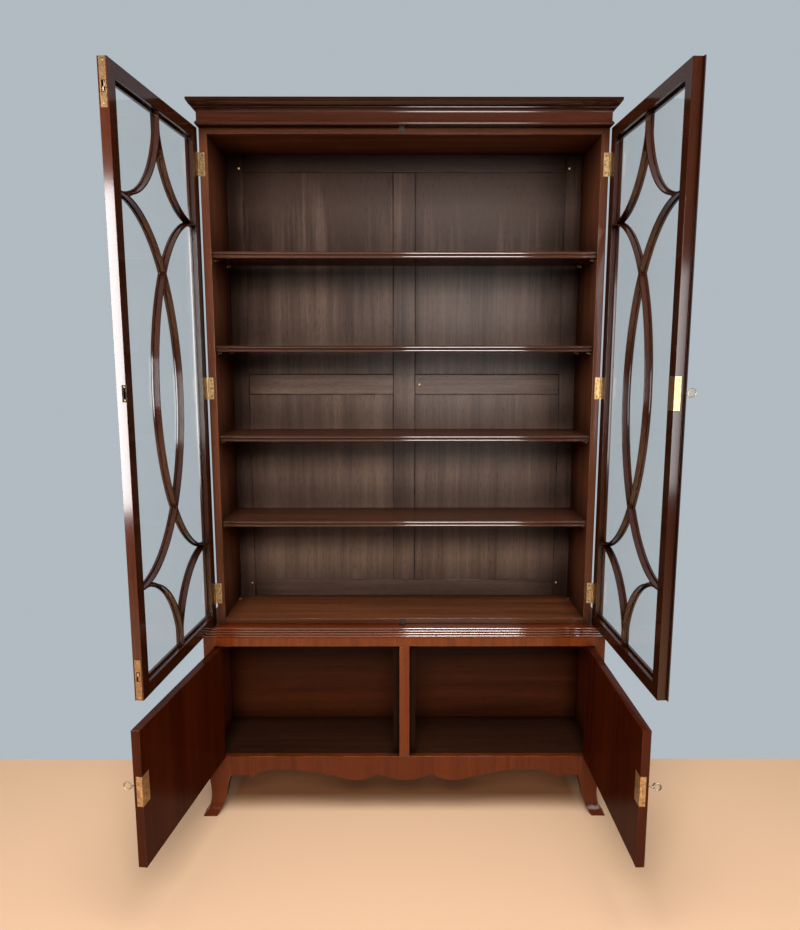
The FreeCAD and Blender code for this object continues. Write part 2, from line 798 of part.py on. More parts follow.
floor_under = s.base_floor_height - s.base_floor_thick
for side, name in ((-1, "base_left_side"), (1, "base_right_side")):
    corner = (base_half * side, face_back, floor_under)
    node(name, [box(name + "_board", corner, (base_inner_half * side, 0, base_top_under))])
node("base_floor", [box("base_floor_board", (-base_inner_half, face_back, floor_under),
                        (base_inner_half, -s.base_back_thick, s.base_floor_height))])
node("base_back", [box("base_back_board", (-base_inner_half, -s.base_back_thick, floor_under),
                       (base_inner_half, 0, base_top_under))])
node("base_top_rail", [box("base_rail", (-opening_half, base_front, opening_top),
                           (opening_half, face_back, base_top_under))])

cupboard_lock_z = cupboard_foot + s.cupboard_lock_height
glazed_lock_z = s.base_height + s.glazed_lock_height


# The pocket that a lock's bolt shoots into, beyond the closed gap at the door's edge.
def lock_mortise(name, face, inwards, inner, middle):
    low = middle - s.lock_bolt_height / 2 - s.mortise_gap
    high = middle + s.lock_bolt_height / 2 + s.mortise_gap
    near = inner - s.lock_wall - s.lock_bolt_gap + s.mortise_gap
    far = near - s.lock_bolt_thick - s.mortise_gap * 2
    deep = face + (s.lock_throw + s.mortise_end_gap) * inwards
    return box(name, (face, near, low), (deep, far, high))


end_stiles = []
for side in (-1, 1):
    key = "left_cupboard" if side < 0 else "right_cupboard"
    name = "base_end_stile_%d" % (side + 1)
    corner = (base_half * side, base_front, s.base_floor_height)
    blank = box(name + "_blank", corner, (opening_half * side, face_back, base_top_under))
    end_stiles.append(cut(name, blank, stile_recesses[key]))
node("base_end_stiles", end_stiles)

half_centre = s.centre_stile_width / 2
batten_front = cupboard_inner + s.stop_gap
blank = box("centre_stile_blank", (-half_centre, base_front, s.base_floor_height),
            (half_centre, batten_front, opening_top))
mortises = []
for side in (-1, 1):
    name = "centre_mortise_%d" % (side + 1)
    mortises.append(lock_mortise(name, half_centre * side, -side, cupboard_inner, cupboard_lock_z))
node("base_centre_stile", [cut("centre_stile_cut", blank, mortises)])
node("door_stop_batten", [box("stop_batten", (-s.stop_batten_width / 2, batten_front, s.base_floor_height),
                              (s.stop_batten_width / 2, batten_front + s.stop_batten_thick, base_top_under))])

# The shaped apron below the doors, drawn from the left foot to the right one.
foot_inner_half = base_half - s.foot_top_width
left_steps = (
    (-foot_inner_half, s.foot_top_height, s.apron_ear_bulge),
    (-s.apron_outer_cusp_offset, s.apron_outer_cusp_height, s.apron_shoulder_bulge),
    (-s.apron_arch_offset, s.apron_arch_height, s.apron_arch_bulge),
    (-s.apron_lobe_end, s.apron_lobe_end_height, -s.apron_lobe_bulge),
    (-s.apron_cusp_offset, s.apron_cusp_height, -(s.apron_cusp_height - s.apron_lobe_height)),
)
right_bulges = [step[2] for step in reversed(left_steps[:-1])] + [nothing]
right_steps = [
    (-across, up, bulge) for (across, up, _), bulge in zip(reversed(left_steps), right_bulges)
]
apron_top = ((foot_inner_half, s.base_floor_height, 0), (-foot_inner_half, s.base_floor_height, 0))
apron_outline = tuple(left_steps) + tuple(right_steps) + apron_top
front_apron = padded("front_apron", "XZ_Plane", apron_outline, (0, face_back, 0), s.face_frame_thick)
side_aprons = []
for side in (-1, 1):
    side_outline = (
        (base_front + s.foot_top_width, s.foot_top_height, s.side_arch_height - s.foot_top_height),
        (-s.foot_top_width, s.foot_top_height, 0),
        (-s.foot_top_width, floor_under, 0),
        (base_front + s.foot_top_width, floor_under, 0),
    )
    start = (base_inner_half, 0, 0) if side > 0 else (-base_half, 0, 0)
    name = "side_apron_%d" % (side + 1)
    side_aprons.append(padded(name, "YZ_Plane", side_outline, start, s.base_side_thick))
node("aprons", [front_apron] + side_aprons)

# Splayed feet: square sections, waisted above the ankle and swept outwards to the sole.
foot_stages = (
    (s.foot_top_height, nothing, s.foot_top_width),
    (s.foot_neck_height, -s.foot_neck_waist, s.foot_neck_width),
    (s.foot_ankle_height, -s.foot_ankle_waist, s.foot_ankle_width),
    (nothing, s.foot_splay, s.foot_sole_width),
)


# A foot below one corner. The outer corner of each section moves out to the side, and on a
# front foot to the front as well.
def foot(name, side, front):
    body = doc.addObject("PartDesign::Body", name)
    sections = []
    for number, (rise, splay, width) in enumerate(foot_stages):
        sketch = sketch_on(body, "%s_section_%d" % (name, number), "XY_Plane")
        outer_x = (base_half + splay) * side
        inner_x = (base_half + splay - width) * side
        if front:
            outer_y = base_front - splay
            inner_y = outer_y + width
        else:
            outer_y = nothing
            inner_y = -width
        corners = [(outer_x, outer_y, 0), (inner_x, outer_y, 0), (inner_x, inner_y, 0), (outer_x, inner_y, 0)]
        draw(sketch, corners)
        sketch.setExpression("AttachmentOffset.Base.z", as_size(rise).text)
        sections.append(sketch)
    doc.recompute()
    loft = body.newObject("PartDesign::AdditiveLoft", name + "_loft")
    loft.Profile = sections[0]
    loft.Sections = sections[1:]
    return body


# Above each foot a block of the same section carries the floor, and on a front foot a cheek
# closes the corner beside it, up to the end stile.
def foot_block(name, side, front):
    outer_y = base_front if front else nothing
    inner_y = base_front + s.foot_top_width if front else -s.foot_top_width
    corner = (base_half * side, outer_y, s.foot_top_height)
    return box(name, corner, ((base_half - s.foot_top_width) * side, inner_y, floor_under))


def front_cheek(name, side):
    corner = (base_half * side, base_front, floor_under)
    return box(name, corner, ((base_half - s.foot_top_width) * side, face_back, s.base_floor_height))


for front, name in ((True, "front_feet"), (False, "rear_feet")):
    feet = []
    for side in (-1, 1):
        label = "%s_%d" % (name, side + 1)
        pieces = [foot(label, side, front), foot_block(label + "_block", side, front)]
        if front:
            pieces.append(front_cheek(label + "_cheek", side))
        feet.append(fuse(label + "_whole", pieces))
    node(name, feet)

node("fixed_hinge_leaves", fixed_leaves)
node("hinge_pins", pins)
node("bolt_keepers", [entry["keeper"] for entry in keepers])
node("fixing_screws", screws)


# A keyhole: a round hole and the slot that lets the bit through, below it.
def keyhole(name, key_x, key_z, start_y, end_y):
    radius = s.key_shank_radius + s.key_hole_gap
    round_part = rod(name + "_round", (key_x, start_y, key_z), (0, -1, 0), start_y - end_y, radius)
    half_slot = s.key_bit_thick / 2 + s.key_hole_gap
    reach = s.key_bit_reach + s.key_hole_gap
    slot = box(name + "_slot", (key_x - half_slot, start_y, key_z - reach), (key_x + half_slot, end_y, key_z))
    return fuse(name, [round_part, slot])


# A lock cut into a door's inner face and edge. Inwards is the way from the edge into the door.
def lock(name, edge, inwards, inner, outer, middle):
    half = s.lock_height / 2
    case_back = inner - s.lock_depth
    case_end = edge + s.lock_width * inwards
    low = middle - half
    high = middle + half
    outside = box(name + "_body", (edge, inner, low), (case_end, case_back, high))
    plate_end = edge + s.lock_wall * inwards
    edge_plate = box(name + "_edge_plate", (edge, inner, low), (plate_end, inner - s.lock_edge_width, high))
    recess = fuse(name + "_recess", [outside, edge_plate])
    cavity = box(name + "_cavity", (plate_end, inner - s.lock_wall, low + s.lock_wall),
                 (case_end - s.lock_wall * inwards, case_back + s.lock_wall, high - s.lock_wall))
    bolt_low = middle - s.lock_bolt_height / 2
    bolt_high = middle + s.lock_bolt_height / 2
    bolt_near = inner - s.lock_wall - s.lock_bolt_gap
    bolt_far = bolt_near - s.lock_bolt_thick
    bolt_tip = edge + s.lock_bolt_gap * inwards
    bolt = box(name + "_shooting_bolt", (bolt_tip, bolt_near, bolt_low),
               (bolt_tip + s.lock_bolt_length * inwards, bolt_far, bolt_high))
    slot_outside = edge - s.cut_overrun * inwards
    slot_inside = plate_end + s.cut_overrun * inwards
    slot = box(name + "_bolt_slot",
               (slot_outside, bolt_near + s.lock_bolt_gap, bolt_low - s.lock_bolt_gap),
               (slot_inside, bolt_far - s.lock_bolt_gap, bolt_high + s.lock_bolt_gap))
    key_x = edge + s.key_backset * inwards
    face = outer - s.escutcheon_thick
    hole_start = case_back + s.lock_wall + s.cut_overrun
    hole = keyhole(name + "_keyhole", key_x, middle, hole_start, face - s.cut_overrun)
    case = cut(name + "_case", recess, [cavity, slot, hole])
    disc_start = (key_x, outer, middle)
    disc = rod(name + "_escutcheon_disc", disc_start, (0, -1, 0), s.escutcheon_thick, s.escutcheon_radius)
    escutcheon = cut(name + "_escutcheon", disc, [hole])
    bit_start = bolt_far - s.lock_bolt_gap
    shank_end = face - s.key_stand_off
    shank_run = bit_start - shank_end
    shank = rod(name + "_shank", (key_x, bit_start, middle), (0, -1, 0), shank_run, s.key_shank_radius)
    bit = box(name + "_bit", (key_x - s.key_bit_thick / 2, bit_start, middle - s.key_bit_reach),
              (key_x + s.key_bit_thick / 2, bit_start - s.key_bit_width, middle))
    bow = doc.addObject("Part::Torus", name + "_bow")
    bind(bow, "Radius1", s.key_bow_radius)
    bind(bow, "Radius2", s.key_bow_wire)
    bow.Placement.Rotation = Rotation(Vector(0, 0, 1), Vector(1, 0, 0))
    place(bow, (key_x, shank_end - s.key_bow_radius, middle))
    key = fuse(name + "_turning_key", [shank, bit, bow])
    return {"case": case, "escutcheon": escutcheon, "bolt": bolt, "key": key, "recess": recess, "hole": hole}


# Half sizes of a glazed door's opening, to the rebate that holds the glass and to the moulding.
rebate_half_width = (upper_half - s.door_meeting_gap / 2) / 2 - (s.door_stile_width - s.rebate_width)
rebate_half_height = (door_head - door_foot) / 2 - (s.door_rail_width - s.rebate_width)
sight_half_width = rebate_half_width - s.rebate_width
sight_half_height = rebate_half_height - s.rebate_width


# Glazing bars of a door, in its own plane: two tall half ovals that cross above and below the
# middle, and arcs that run from their ends to a short upright bar at the top and the bottom.
def bar_lattice(width, window_half_width, window_half_height):
    half = width / 2
    meeting = rebate_half_height.value - s.bar_meeting_drop.value
    across = rebate_half_width.value + s.bar_past_middle.value
    edge = rebate_half_width.value
    depth = Vector(0, s.door_thick.value, 0)

    def oval(tall, broad, middle_x):
        outline = Part.Ellipse(Vector(0, 0, 0), max(tall, broad), min(tall, broad))
        face = Part.Face(Part.Wire(outline.toShape()))
        long_way = Vector(0, 0, 1) if tall > broad else Vector(1, 0, 0)
        across_way = Vector(1, 0, 0) if tall > broad else Vector(0, 0, 1)
        turned = Rotation(long_way, across_way, long_way.cross(across_way), "ZXY")
        face.Placement = FreeCAD.Placement(Vector(middle_x, 0, 0), turned)
        return face.extrude(depth)

    def slab(left, right, low, high):
        return Part.makeBox(right - left, depth.y, high - low, Vector(left, 0, low))

    pieces = []
    run = s.bar_flat_run.value
    rise = rebate_half_height.value - s.top_bar_length.value - meeting
    radius = ((edge - run) ** 2 + rise ** 2) / (2 * rise)
    for side in (-1, 1):
        ring = oval(meeting + half, across + half, edge * side)
        ring = ring.cut(oval(meeting - half, across - half, edge * side))
        keep = slab(-edge, edge, -meeting - half, meeting + half)
        pieces.append(ring.common(keep))
        for way in (-1, 1):
            start_x = (edge - run) * side
            centre = Vector(start_x, 0, (meeting + radius) * way)
            outer = Part.makeCylinder(radius + half, depth.y, centre, Vector(0, 1, 0))
            inner = Part.makeCylinder(radius - half, depth.y, centre, Vector(0, 1, 0))
            left, right = sorted((0, start_x))
            low, high = sorted(((meeting - half) * way, (meeting + rise) * way))
            pieces.append(outer.cut(inner).common(slab(left, right, low, high)))
            left, right = sorted((start_x, edge * side))
            pieces.append(slab(left, right, meeting * way - half, meeting * way + half))
    for way in (-1, 1):
        low, high = sorted(((meeting + rise - width) * way, rebate_half_height.value * way))
        pieces.append(slab(-half, half, low, high))
    lattice = pieces[0].multiFuse(pieces[1:])
    window = slab(-window_half_width, window_half_width, -window_half_height, window_half_height)
    return lattice.common(window).removeSplitter()


def layer(shape, near, thick):
    window = Part.makeBox(s.upper_width.value, thick, s.carcass_height.value,
                          Vector(-upper_half.value, near, -s.carcass_height.value / 2))
    return shape.common(window)


# The bars are T-shaped: ribs inside the glass and a stepped moulding outside it.
def glazing_shapes():
    ribs = bar_lattice(s.rib_width.value, rebate_half_width.value, rebate_half_height.value)
    moulding = bar_lattice(s.astragal_width.value, sight_half_width.value, sight_half_height.value)
    nose = bar_lattice(s.astragal_nose_width.value, sight_half_width.value, sight_half_height.value)
    outer_thick = s.door_thick.value - s.glass_depth.value - s.glass_thick.value
    foot_thick = outer_thick - s.astragal_nose_height.value
    bars = layer(ribs, outer_thick, s.glass_depth.value + s.glass_thick.value)
    bars = bars.fuse(layer(moulding, s.astragal_nose_height.value, foot_thick))
    bars = bars.fuse(layer(nose, 0, s.astragal_nose_height.value)).removeSplitter()
    gap = s.rib_glass_gap.value
    edge_gap = s.glass_edge_gap.value
    sheet_half_width = rebate_half_width.value - edge_gap
    sheet_half_height = rebate_half_height.value - edge_gap
    glass = Part.makeBox(2 * sheet_half_width, s.glass_thick.value, 2 * sheet_half_height,
                         Vector(-sheet_half_width, outer_thick, -sheet_half_height))
    wide = bar_lattice(s.rib_width.value + 2 * gap, rebate_half_width.value, rebate_half_height.value)
    panes = glass.cut(wide)
    return bars, panes


bars_shape, panes_shape = glazing_shapes()


def glazed_door(side):
    key = "left" if side < 0 else "right"
    hinge_edge = upper_half * side
    meeting_edge = s.door_meeting_gap / 2 * side
    stile_blanks = {
        "hinge": (hinge_edge, hinge_edge - s.door_stile_width * side),
        "meeting": (meeting_edge, meeting_edge + s.door_stile_width * side),
    }
    middle_x = (upper_half + s.door_meeting_gap / 2) / 2 * side
    middle_z = (door_foot + door_head) / 2
    rebate_front = door_inner + s.cut_overrun
    rebate_deep = door_inner - s.glass_depth - s.glass_thick
    rebate = box(key + "_rebate",
                 (middle_x - rebate_half_width, rebate_front, middle_z - rebate_half_height),
                 (middle_x + rebate_half_width, rebate_deep, middle_z + rebate_half_height))
    extra = {"hinge": door_recesses[key], "meeting": []}
    swing = door_swing(side)
    if side > 0:
        fittings = lock("right_door_lock", meeting_edge, side, door_inner, door_outer, glazed_lock_z)
        extra["meeting"] = [fittings["recess"], fittings["hole"]]
    else:
        fittings = bolts_and_strike(meeting_edge, extra["meeting"])
    stiles = []
    for which, (one, other) in stile_blanks.items():
        label = "%s_%s_stile" % (key, which)
        blank = box(label + "_blank", (one, door_inner, door_foot), (other, door_outer, door_head))
        stiles.append(cut(label, blank, [rebate] + extra[which]))
    node(key + "_door_stiles", stiles, swing)
    rails = []
    rail_left = middle_x - sight_half_width
    rail_right = middle_x + sight_half_width
    for which, low, high in (("bottom", door_foot, door_foot + s.door_rail_width),
                             ("top", door_head - s.door_rail_width, door_head)):
        label = "%s_%s_rail" % (key, which)
        blank = box(label + "_blank", (rail_left, door_inner, low), (rail_right, door_outer, high))
        rails.append(cut(label, blank, [rebate]))
    node(key + "_door_rails", rails, swing)
    for name, shape in (("glazing_bars", bars_shape), ("glass_panes", panes_shape)):
        glazing = doc.addObject("Part::Feature", "%s_%s_shape" % (key, name))
        glazing.Shape = shape
        place(glazing, (middle_x, door_outer, middle_z))
        node("%s_%s" % (key, name), [glazing], swing)
    node(key + "_door_hinge_leaves", door_leaves[key], swing)
    if side > 0:
        bead_left = meeting_edge - s.cover_bead_overlap - s.door_meeting_gap
        bead_right = bead_left + s.cover_bead_width
        bead_outline = (
            (bead_left, door_outer - s.cover_bead_gap, 0),
            (meeting_edge, door_outer - s.cover_bead_gap, 0),
            (meeting_edge, door_outer, 0),
            (bead_right, door_outer, 0),
            (bead_right, door_outer - s.cover_bead_gap, s.cover_bead_thick - s.cover_bead_gap),
        )
        bead = padded("cover_bead_strip", "XY_Plane", bead_outline, (0, 0, door_foot), door_head - door_foot)
        node("cover_bead", [bead], swing)
        node("right_door_lock", [fittings["case"], fittings["escutcheon"]], swing)
        node("right_door_lock_bolt", [fittings["bolt"]], swing)
        node("right_door_key", [fittings["key"]], swing)
    else:
        node("flush_bolt_plates", fittings["plates"], swing)
        node("top_flush_bolt", [fittings["bolts"][0]], swing)
        node("bottom_flush_bolt", [fittings["bolts"][1]], swing)
        node("strike_plate", [fittings["strike"]], swing)


# Flush bolts at both ends of the left door's meeting edge, and the strike for the lock.
def bolts_and_strike(edge, stile_cuts):
    plates = []
    bolts = []
    plate_inner = edge - s.bolt_plate_thick
    half_width = s.bolt_plate_width / 2
    for number, (end, away) in enumerate(((door_head, 1), (door_foot, -1))):
        label = "flush_bolt_%d" % number
        plate_end = end - s.bolt_plate_height * away
        corner = (edge, bolt_y - half_width, end)
        plate = box(label + "_plate", corner, (plate_inner, bolt_y + half_width, plate_end))
        knob_outer = end - (s.bolt_knob_drop - s.bolt_knob_height / 2) * away
        knob_inner = end - (s.bolt_knob_drop + s.bolt_knob_height / 2) * away
        slot_half = s.bolt_knob_width / 2 + s.bolt_slot_gap
        slot_outer = knob_outer + (s.bolt_throw + s.bolt_slot_gap) * away
        slot_inner = knob_inner - s.bolt_slot_gap * away
        slot_deep = bolt_x - s.bolt_knob_width / 2
        slot = box(label + "_slot", (edge + s.cut_overrun, bolt_y - slot_half, slot_outer),
                   (slot_deep, bolt_y + slot_half, slot_inner))
        tip = end - s.bolt_sunk * away
        tail = tip - s.bolt_rod_length * away
        shaft_start = (bolt_x, bolt_y, tail)
        shaft = rod(label + "_rod", shaft_start, (0, 0, away), s.bolt_rod_length, s.bolt_rod_radius)
        knob = box(label + "_knob", (edge, bolt_y - s.bolt_knob_width / 2, knob_outer),
                   (bolt_x, bolt_y + s.bolt_knob_width / 2, knob_inner))
        bore_start = (bolt_x, bolt_y, tail - s.bolt_bore_gap * away)
        bore_run = s.bolt_rod_length + s.bolt_sunk + s.bolt_bore_gap + s.cut_overrun
        bore = rod(label + "_bore", bore_start, (0, 0, away), bore_run, s.bolt_rod_radius + s.bolt_bore_gap)
        plates.append(cut(label + "_plate_cut", plate, [slot]))
        bolts.append(fuse(label + "_bolt", [shaft, knob]))
        stile_cuts.extend([plate, slot, bore])
    strike_inner = edge - s.strike_thick
    low = glazed_lock_z - s.strike_height / 2
    high = glazed_lock_z + s.strike_height / 2
    strike_middle = door_inner - s.lock_wall - s.lock_bolt_gap - s.lock_bolt_thick / 2
    near = strike_middle + s.strike_width / 2
    strike_back = strike_middle - s.strike_width / 2
    plate = box("strike_blank", (edge, near, low), (strike_inner, strike_back, high))
    mortise = lock_mortise("strike_mortise", edge, -1, door_inner, glazed_lock_z)
    strike = cut("strike_cut", plate, [mortise])
    stile_cuts.extend([plate, mortise])
    return {"plates": plates, "bolts": bolts, "strike": strike}


for side in (-1, 1):
    glazed_door(side)

# Cupboard doors: veneered boards inset in the face frame.
for side in (-1, 1):
    key = "left_cupboard" if side < 0 else "right_cupboard"
    edge = cupboard_edge * side
    hinge_edge = (opening_half - s.cupboard_door_gap) * side
    fittings = lock(key + "_lock", edge, side, cupboard_inner, base_front, cupboard_lock_z)
    corner = (edge, cupboard_inner, cupboard_foot)
    blank = box(key + "_board", corner, (hinge_edge, base_front, cupboard_head))
    board = cut(key + "_door_cut", blank, cupboard_recesses[key] + [fittings["recess"], fittings["hole"]])
    swing = cupboard_swing(side)
    node(key + "_door", [board], swing)
    node(key + "_hinge_leaves", door_leaves[key], swing)
    node(key + "_lock", [fittings["case"], fittings["escutcheon"]], swing)
    node(key + "_lock_bolt", [fittings["bolt"]], swing)
    node(key + "_key", [fittings["key"]], swing)

doc.recompute()

for thing in doc.Objects:
    if "Invalid" in thing.State or "Error" in thing.State:
        raise RuntimeError("failed: %s %s" % (thing.Name, thing.State))

os.makedirs("parts", exist_ok=True)
for thing in nodes:
    shape = thing.Shape
    if shape.isNull() or not shape.isValid():
        raise RuntimeError("bad shape: " + thing.Label)
    if any(solid.Volume <= 0 for solid in shape.Solids):
        raise RuntimeError("empty solid: " + thing.Label)
    shape.exportStep("parts/%s.step" % thing.Label)
    print(thing.Label, len(shape.Solids), "solids, volume %.0f" % shape.Volume)
print(len(nodes), "sub-parts")
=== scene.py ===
import bpy
import json
import math
import random
import numpy as np
from mathutils import Matrix, Vector

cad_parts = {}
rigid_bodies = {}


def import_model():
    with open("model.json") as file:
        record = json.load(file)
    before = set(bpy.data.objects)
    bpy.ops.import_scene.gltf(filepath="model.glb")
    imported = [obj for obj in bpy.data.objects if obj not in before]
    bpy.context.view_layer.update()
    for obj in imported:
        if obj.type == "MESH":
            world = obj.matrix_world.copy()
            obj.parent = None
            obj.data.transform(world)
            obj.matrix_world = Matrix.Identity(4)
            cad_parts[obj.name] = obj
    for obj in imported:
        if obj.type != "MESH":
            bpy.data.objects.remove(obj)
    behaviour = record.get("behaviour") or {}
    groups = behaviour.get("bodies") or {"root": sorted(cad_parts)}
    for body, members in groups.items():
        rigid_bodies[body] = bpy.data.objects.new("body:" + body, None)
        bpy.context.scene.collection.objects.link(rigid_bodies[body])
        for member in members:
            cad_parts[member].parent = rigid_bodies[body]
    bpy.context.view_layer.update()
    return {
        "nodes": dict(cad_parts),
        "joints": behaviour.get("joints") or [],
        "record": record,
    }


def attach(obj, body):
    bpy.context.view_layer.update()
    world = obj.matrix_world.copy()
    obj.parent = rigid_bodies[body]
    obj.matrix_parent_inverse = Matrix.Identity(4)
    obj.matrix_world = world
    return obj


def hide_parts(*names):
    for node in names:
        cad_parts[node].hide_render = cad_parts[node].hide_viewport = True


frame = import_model()
nodes = frame["nodes"]
print("frame loaded:", len(nodes), "nodes")

# Metres. The plane of the cabinet's back stands behind the origin by this much.
backPlane = 0.424
firstDraw = 11
dice = random.Random(firstDraw)

# Selection and mesh helpers, used by every piece. Angles are in degrees, "facing" is how nearly a face
# has to look along an axis to be picked.
meshWork = {"smooth": 35, "smoothBoard": 30, "smoothTurned": 40, "weight": 60, "bevel": 38, "bevelSteps": 2,
            "merge": 0.00001, "mergeTurned": 0.000001, "dissolve": 0.4, "facing": 0.9}


def deselectAll():
    if bpy.context.mode != "OBJECT":
        bpy.ops.object.mode_set(mode="OBJECT")
    bpy.ops.object.select_all(action="DESELECT")


def pick(*pieces):
    deselectAll()
    for piece in pieces:
        piece.select_set(True)
    bpy.context.view_layer.objects.active = pieces[0]


def settle(piece):  # puts the piece's place into its mesh
    pick(piece)
    bpy.ops.object.transform_apply(location=True, rotation=True, scale=True)


def applyModifier(piece, kind, **values):
    pick(piece)
    modifier = piece.modifiers.new(kind.title(), kind)
    for name, value in values.items():
        setattr(modifier, name, value)
    bpy.ops.object.modifier_apply(modifier=modifier.name)


def smooth(piece, degrees=meshWork["smooth"]):  # smooth curves, with the flats kept flat
    pick(piece)
    bpy.ops.object.shade_smooth_by_angle(angle=math.radians(degrees))
    applyModifier(piece, "WEIGHTED_NORMAL", keep_sharp=True, weight=meshWork["weight"])


def joined(name, pieces):
    pick(*pieces)
    bpy.ops.object.join()
    piece = bpy.context.view_layer.objects.active
    piece.name = name
    piece.data.name = name
    return piece


def selectFaces(piece, test):  # in edit mode, picks the faces whose centre and normal pass the test
    bpy.ops.object.mode_set(mode="OBJECT")
    for group in (piece.data.vertices, piece.data.edges, piece.data.polygons):
        group.foreach_set("select", [False] * len(group))
    for face in piece.data.polygons:
        face.select = test(face.center, face.normal)
    bpy.ops.object.mode_set(mode="EDIT")


def dress(piece, material, slot, body, *replaced):
    piece.data.materials.clear()
    piece.data.materials.append(material)
    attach(piece, body)
    if replaced:
        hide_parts(*replaced)


# The doors stand open at rest. Their fittings are modelled as on a shut door, then swung out.
swings = {}
for joint in frame["joints"]:
    if joint["parent"] == "carcass":
        pin = Vector(joint["pos_m"])
        closing = Matrix.Rotation(math.radians(joint["range_deg"][0]), 4, Vector(joint["axis"]))
        swings[joint["child"]] = Matrix.Translation(pin) @ closing @ Matrix.Translation(-pin)
bodyOf = {name: body for body, names in frame["record"]["behaviour"]["bodies"].items() for name in names}
doorOf = {joint["child"]: joint["parent"] for joint in frame["joints"]}


def toShut(body):  # the matrix that swings a body's pieces shut
    while body in doorOf and body not in swings:
        body = doorOf[body]
    return swings.get(body, Matrix.Identity(4))


def swingOut(piece, body):
    piece.matrix_world = toShut(body).inverted() @ piece.matrix_world
    settle(piece)


# Camera at the photograph's place.
camera = {
    "place": (-0.0056, -2.225, 1.4137),
    "lookDown": 10.007,
    "turn": -0.147,
    "lens": 31.98,
    "sensor": 36,
    "shift": (-0.0049, 0.0342),
}


def placeCamera():
    turned = (math.radians(90 - camera["lookDown"]), 0, math.radians(camera["turn"]))
    bpy.ops.object.camera_add(location=camera["place"], rotation=turned)
    seen = bpy.context.active_object
    seen.data.lens = camera["lens"]
    seen.data.sensor_width = camera["sensor"]
    seen.data.shift_x, seen.data.shift_y = camera["shift"]
    bpy.context.scene.camera = seen


deselectAll()
placeCamera()
print("camera placed")

# Node helpers. Values are set by the input's name or number, and links are written as pairs. A mix of two
# colours has its own numbers for the first and second colour and for the result.
nodeStep = 200
firstColour, secondColour, mixedColour = 6, 7, 2


def setInputs(node, inputs):
    for name, value in inputs.items():
        node.inputs[name].default_value = value


def addNode(tree, kind, at, inputs=None, **settings):
    node = tree.nodes.new("ShaderNode" + kind)
    node.location = (at[0] * nodeStep, at[1] * nodeStep)
    for name, value in settings.items():
        setattr(node, name, value)
    setInputs(node, inputs or {})
    return node


def link(tree, *pairs):
    for (source, output), (target, socket) in pairs:
        tree.links.new(source.outputs[output], target.inputs[socket])


def newGroup(name, inputs, outputs):
    tree = bpy.data.node_groups.new(name, "ShaderNodeTree")
    ends = []
    for way, column, sockets in (("Input", -6, inputs), ("Output", 6, outputs)):
        for label, kind in sockets.items():
            tree.interface.new_socket(label, in_out=way.upper(), socket_type="NodeSocket" + kind)
        node = tree.nodes.new("NodeGroup" + way)
        node.location = (column * nodeStep, 0)
        ends.append(node)
    return tree, *ends


def newMaterial(name, inputs):
    material = bpy.data.materials.new(name)
    material.use_nodes = True
    surface = material.node_tree.nodes["Principled BSDF"]
    setInputs(surface, inputs)
    return material, material.node_tree, surface


def ramp(tree, at, stops):  # black to white or back, between two positions
    node = addNode(tree, "ValToRGB", at)
    for element, (position, shade) in zip(node.color_ramp.elements, stops):
        element.position = position
        element.color = (shade, shade, shade, 1)
    return node


def fade(tree, at, ends):  # rises from 0 to 1 between two values
    return addNode(tree, "MapRange", at, {"From Min": ends[0], "From Max": ends[1]})


# Wood grain. The vector runs across, across and along the grain of one board, in metres. Each layer has
# its scale along the vector, its detail and its distortion, and the first three add up to the tone.
grainLook = {
    "layers": {"figure": ((7, 7, 0.9), 3, 0.9), "ribbon": ((34, 34, 1.5), 4, 0.5),
               "streak": ((150, 150, 4.5), 5, 0.2), "pore": ((900, 900, 38), 2, 0.0)},
    "strengths": {"figure": 0.9, "ribbon": 0.75, "streak": 0.5},
    "noiseMiddle": 0.5,
    "pits": ((0.33, 1.0), (0.43, 0.0)),
    "pitColour": (0.35, 0.3, 0.28),
    "tones": (0.38, 0.62),
    "startsWithin": 3,
}


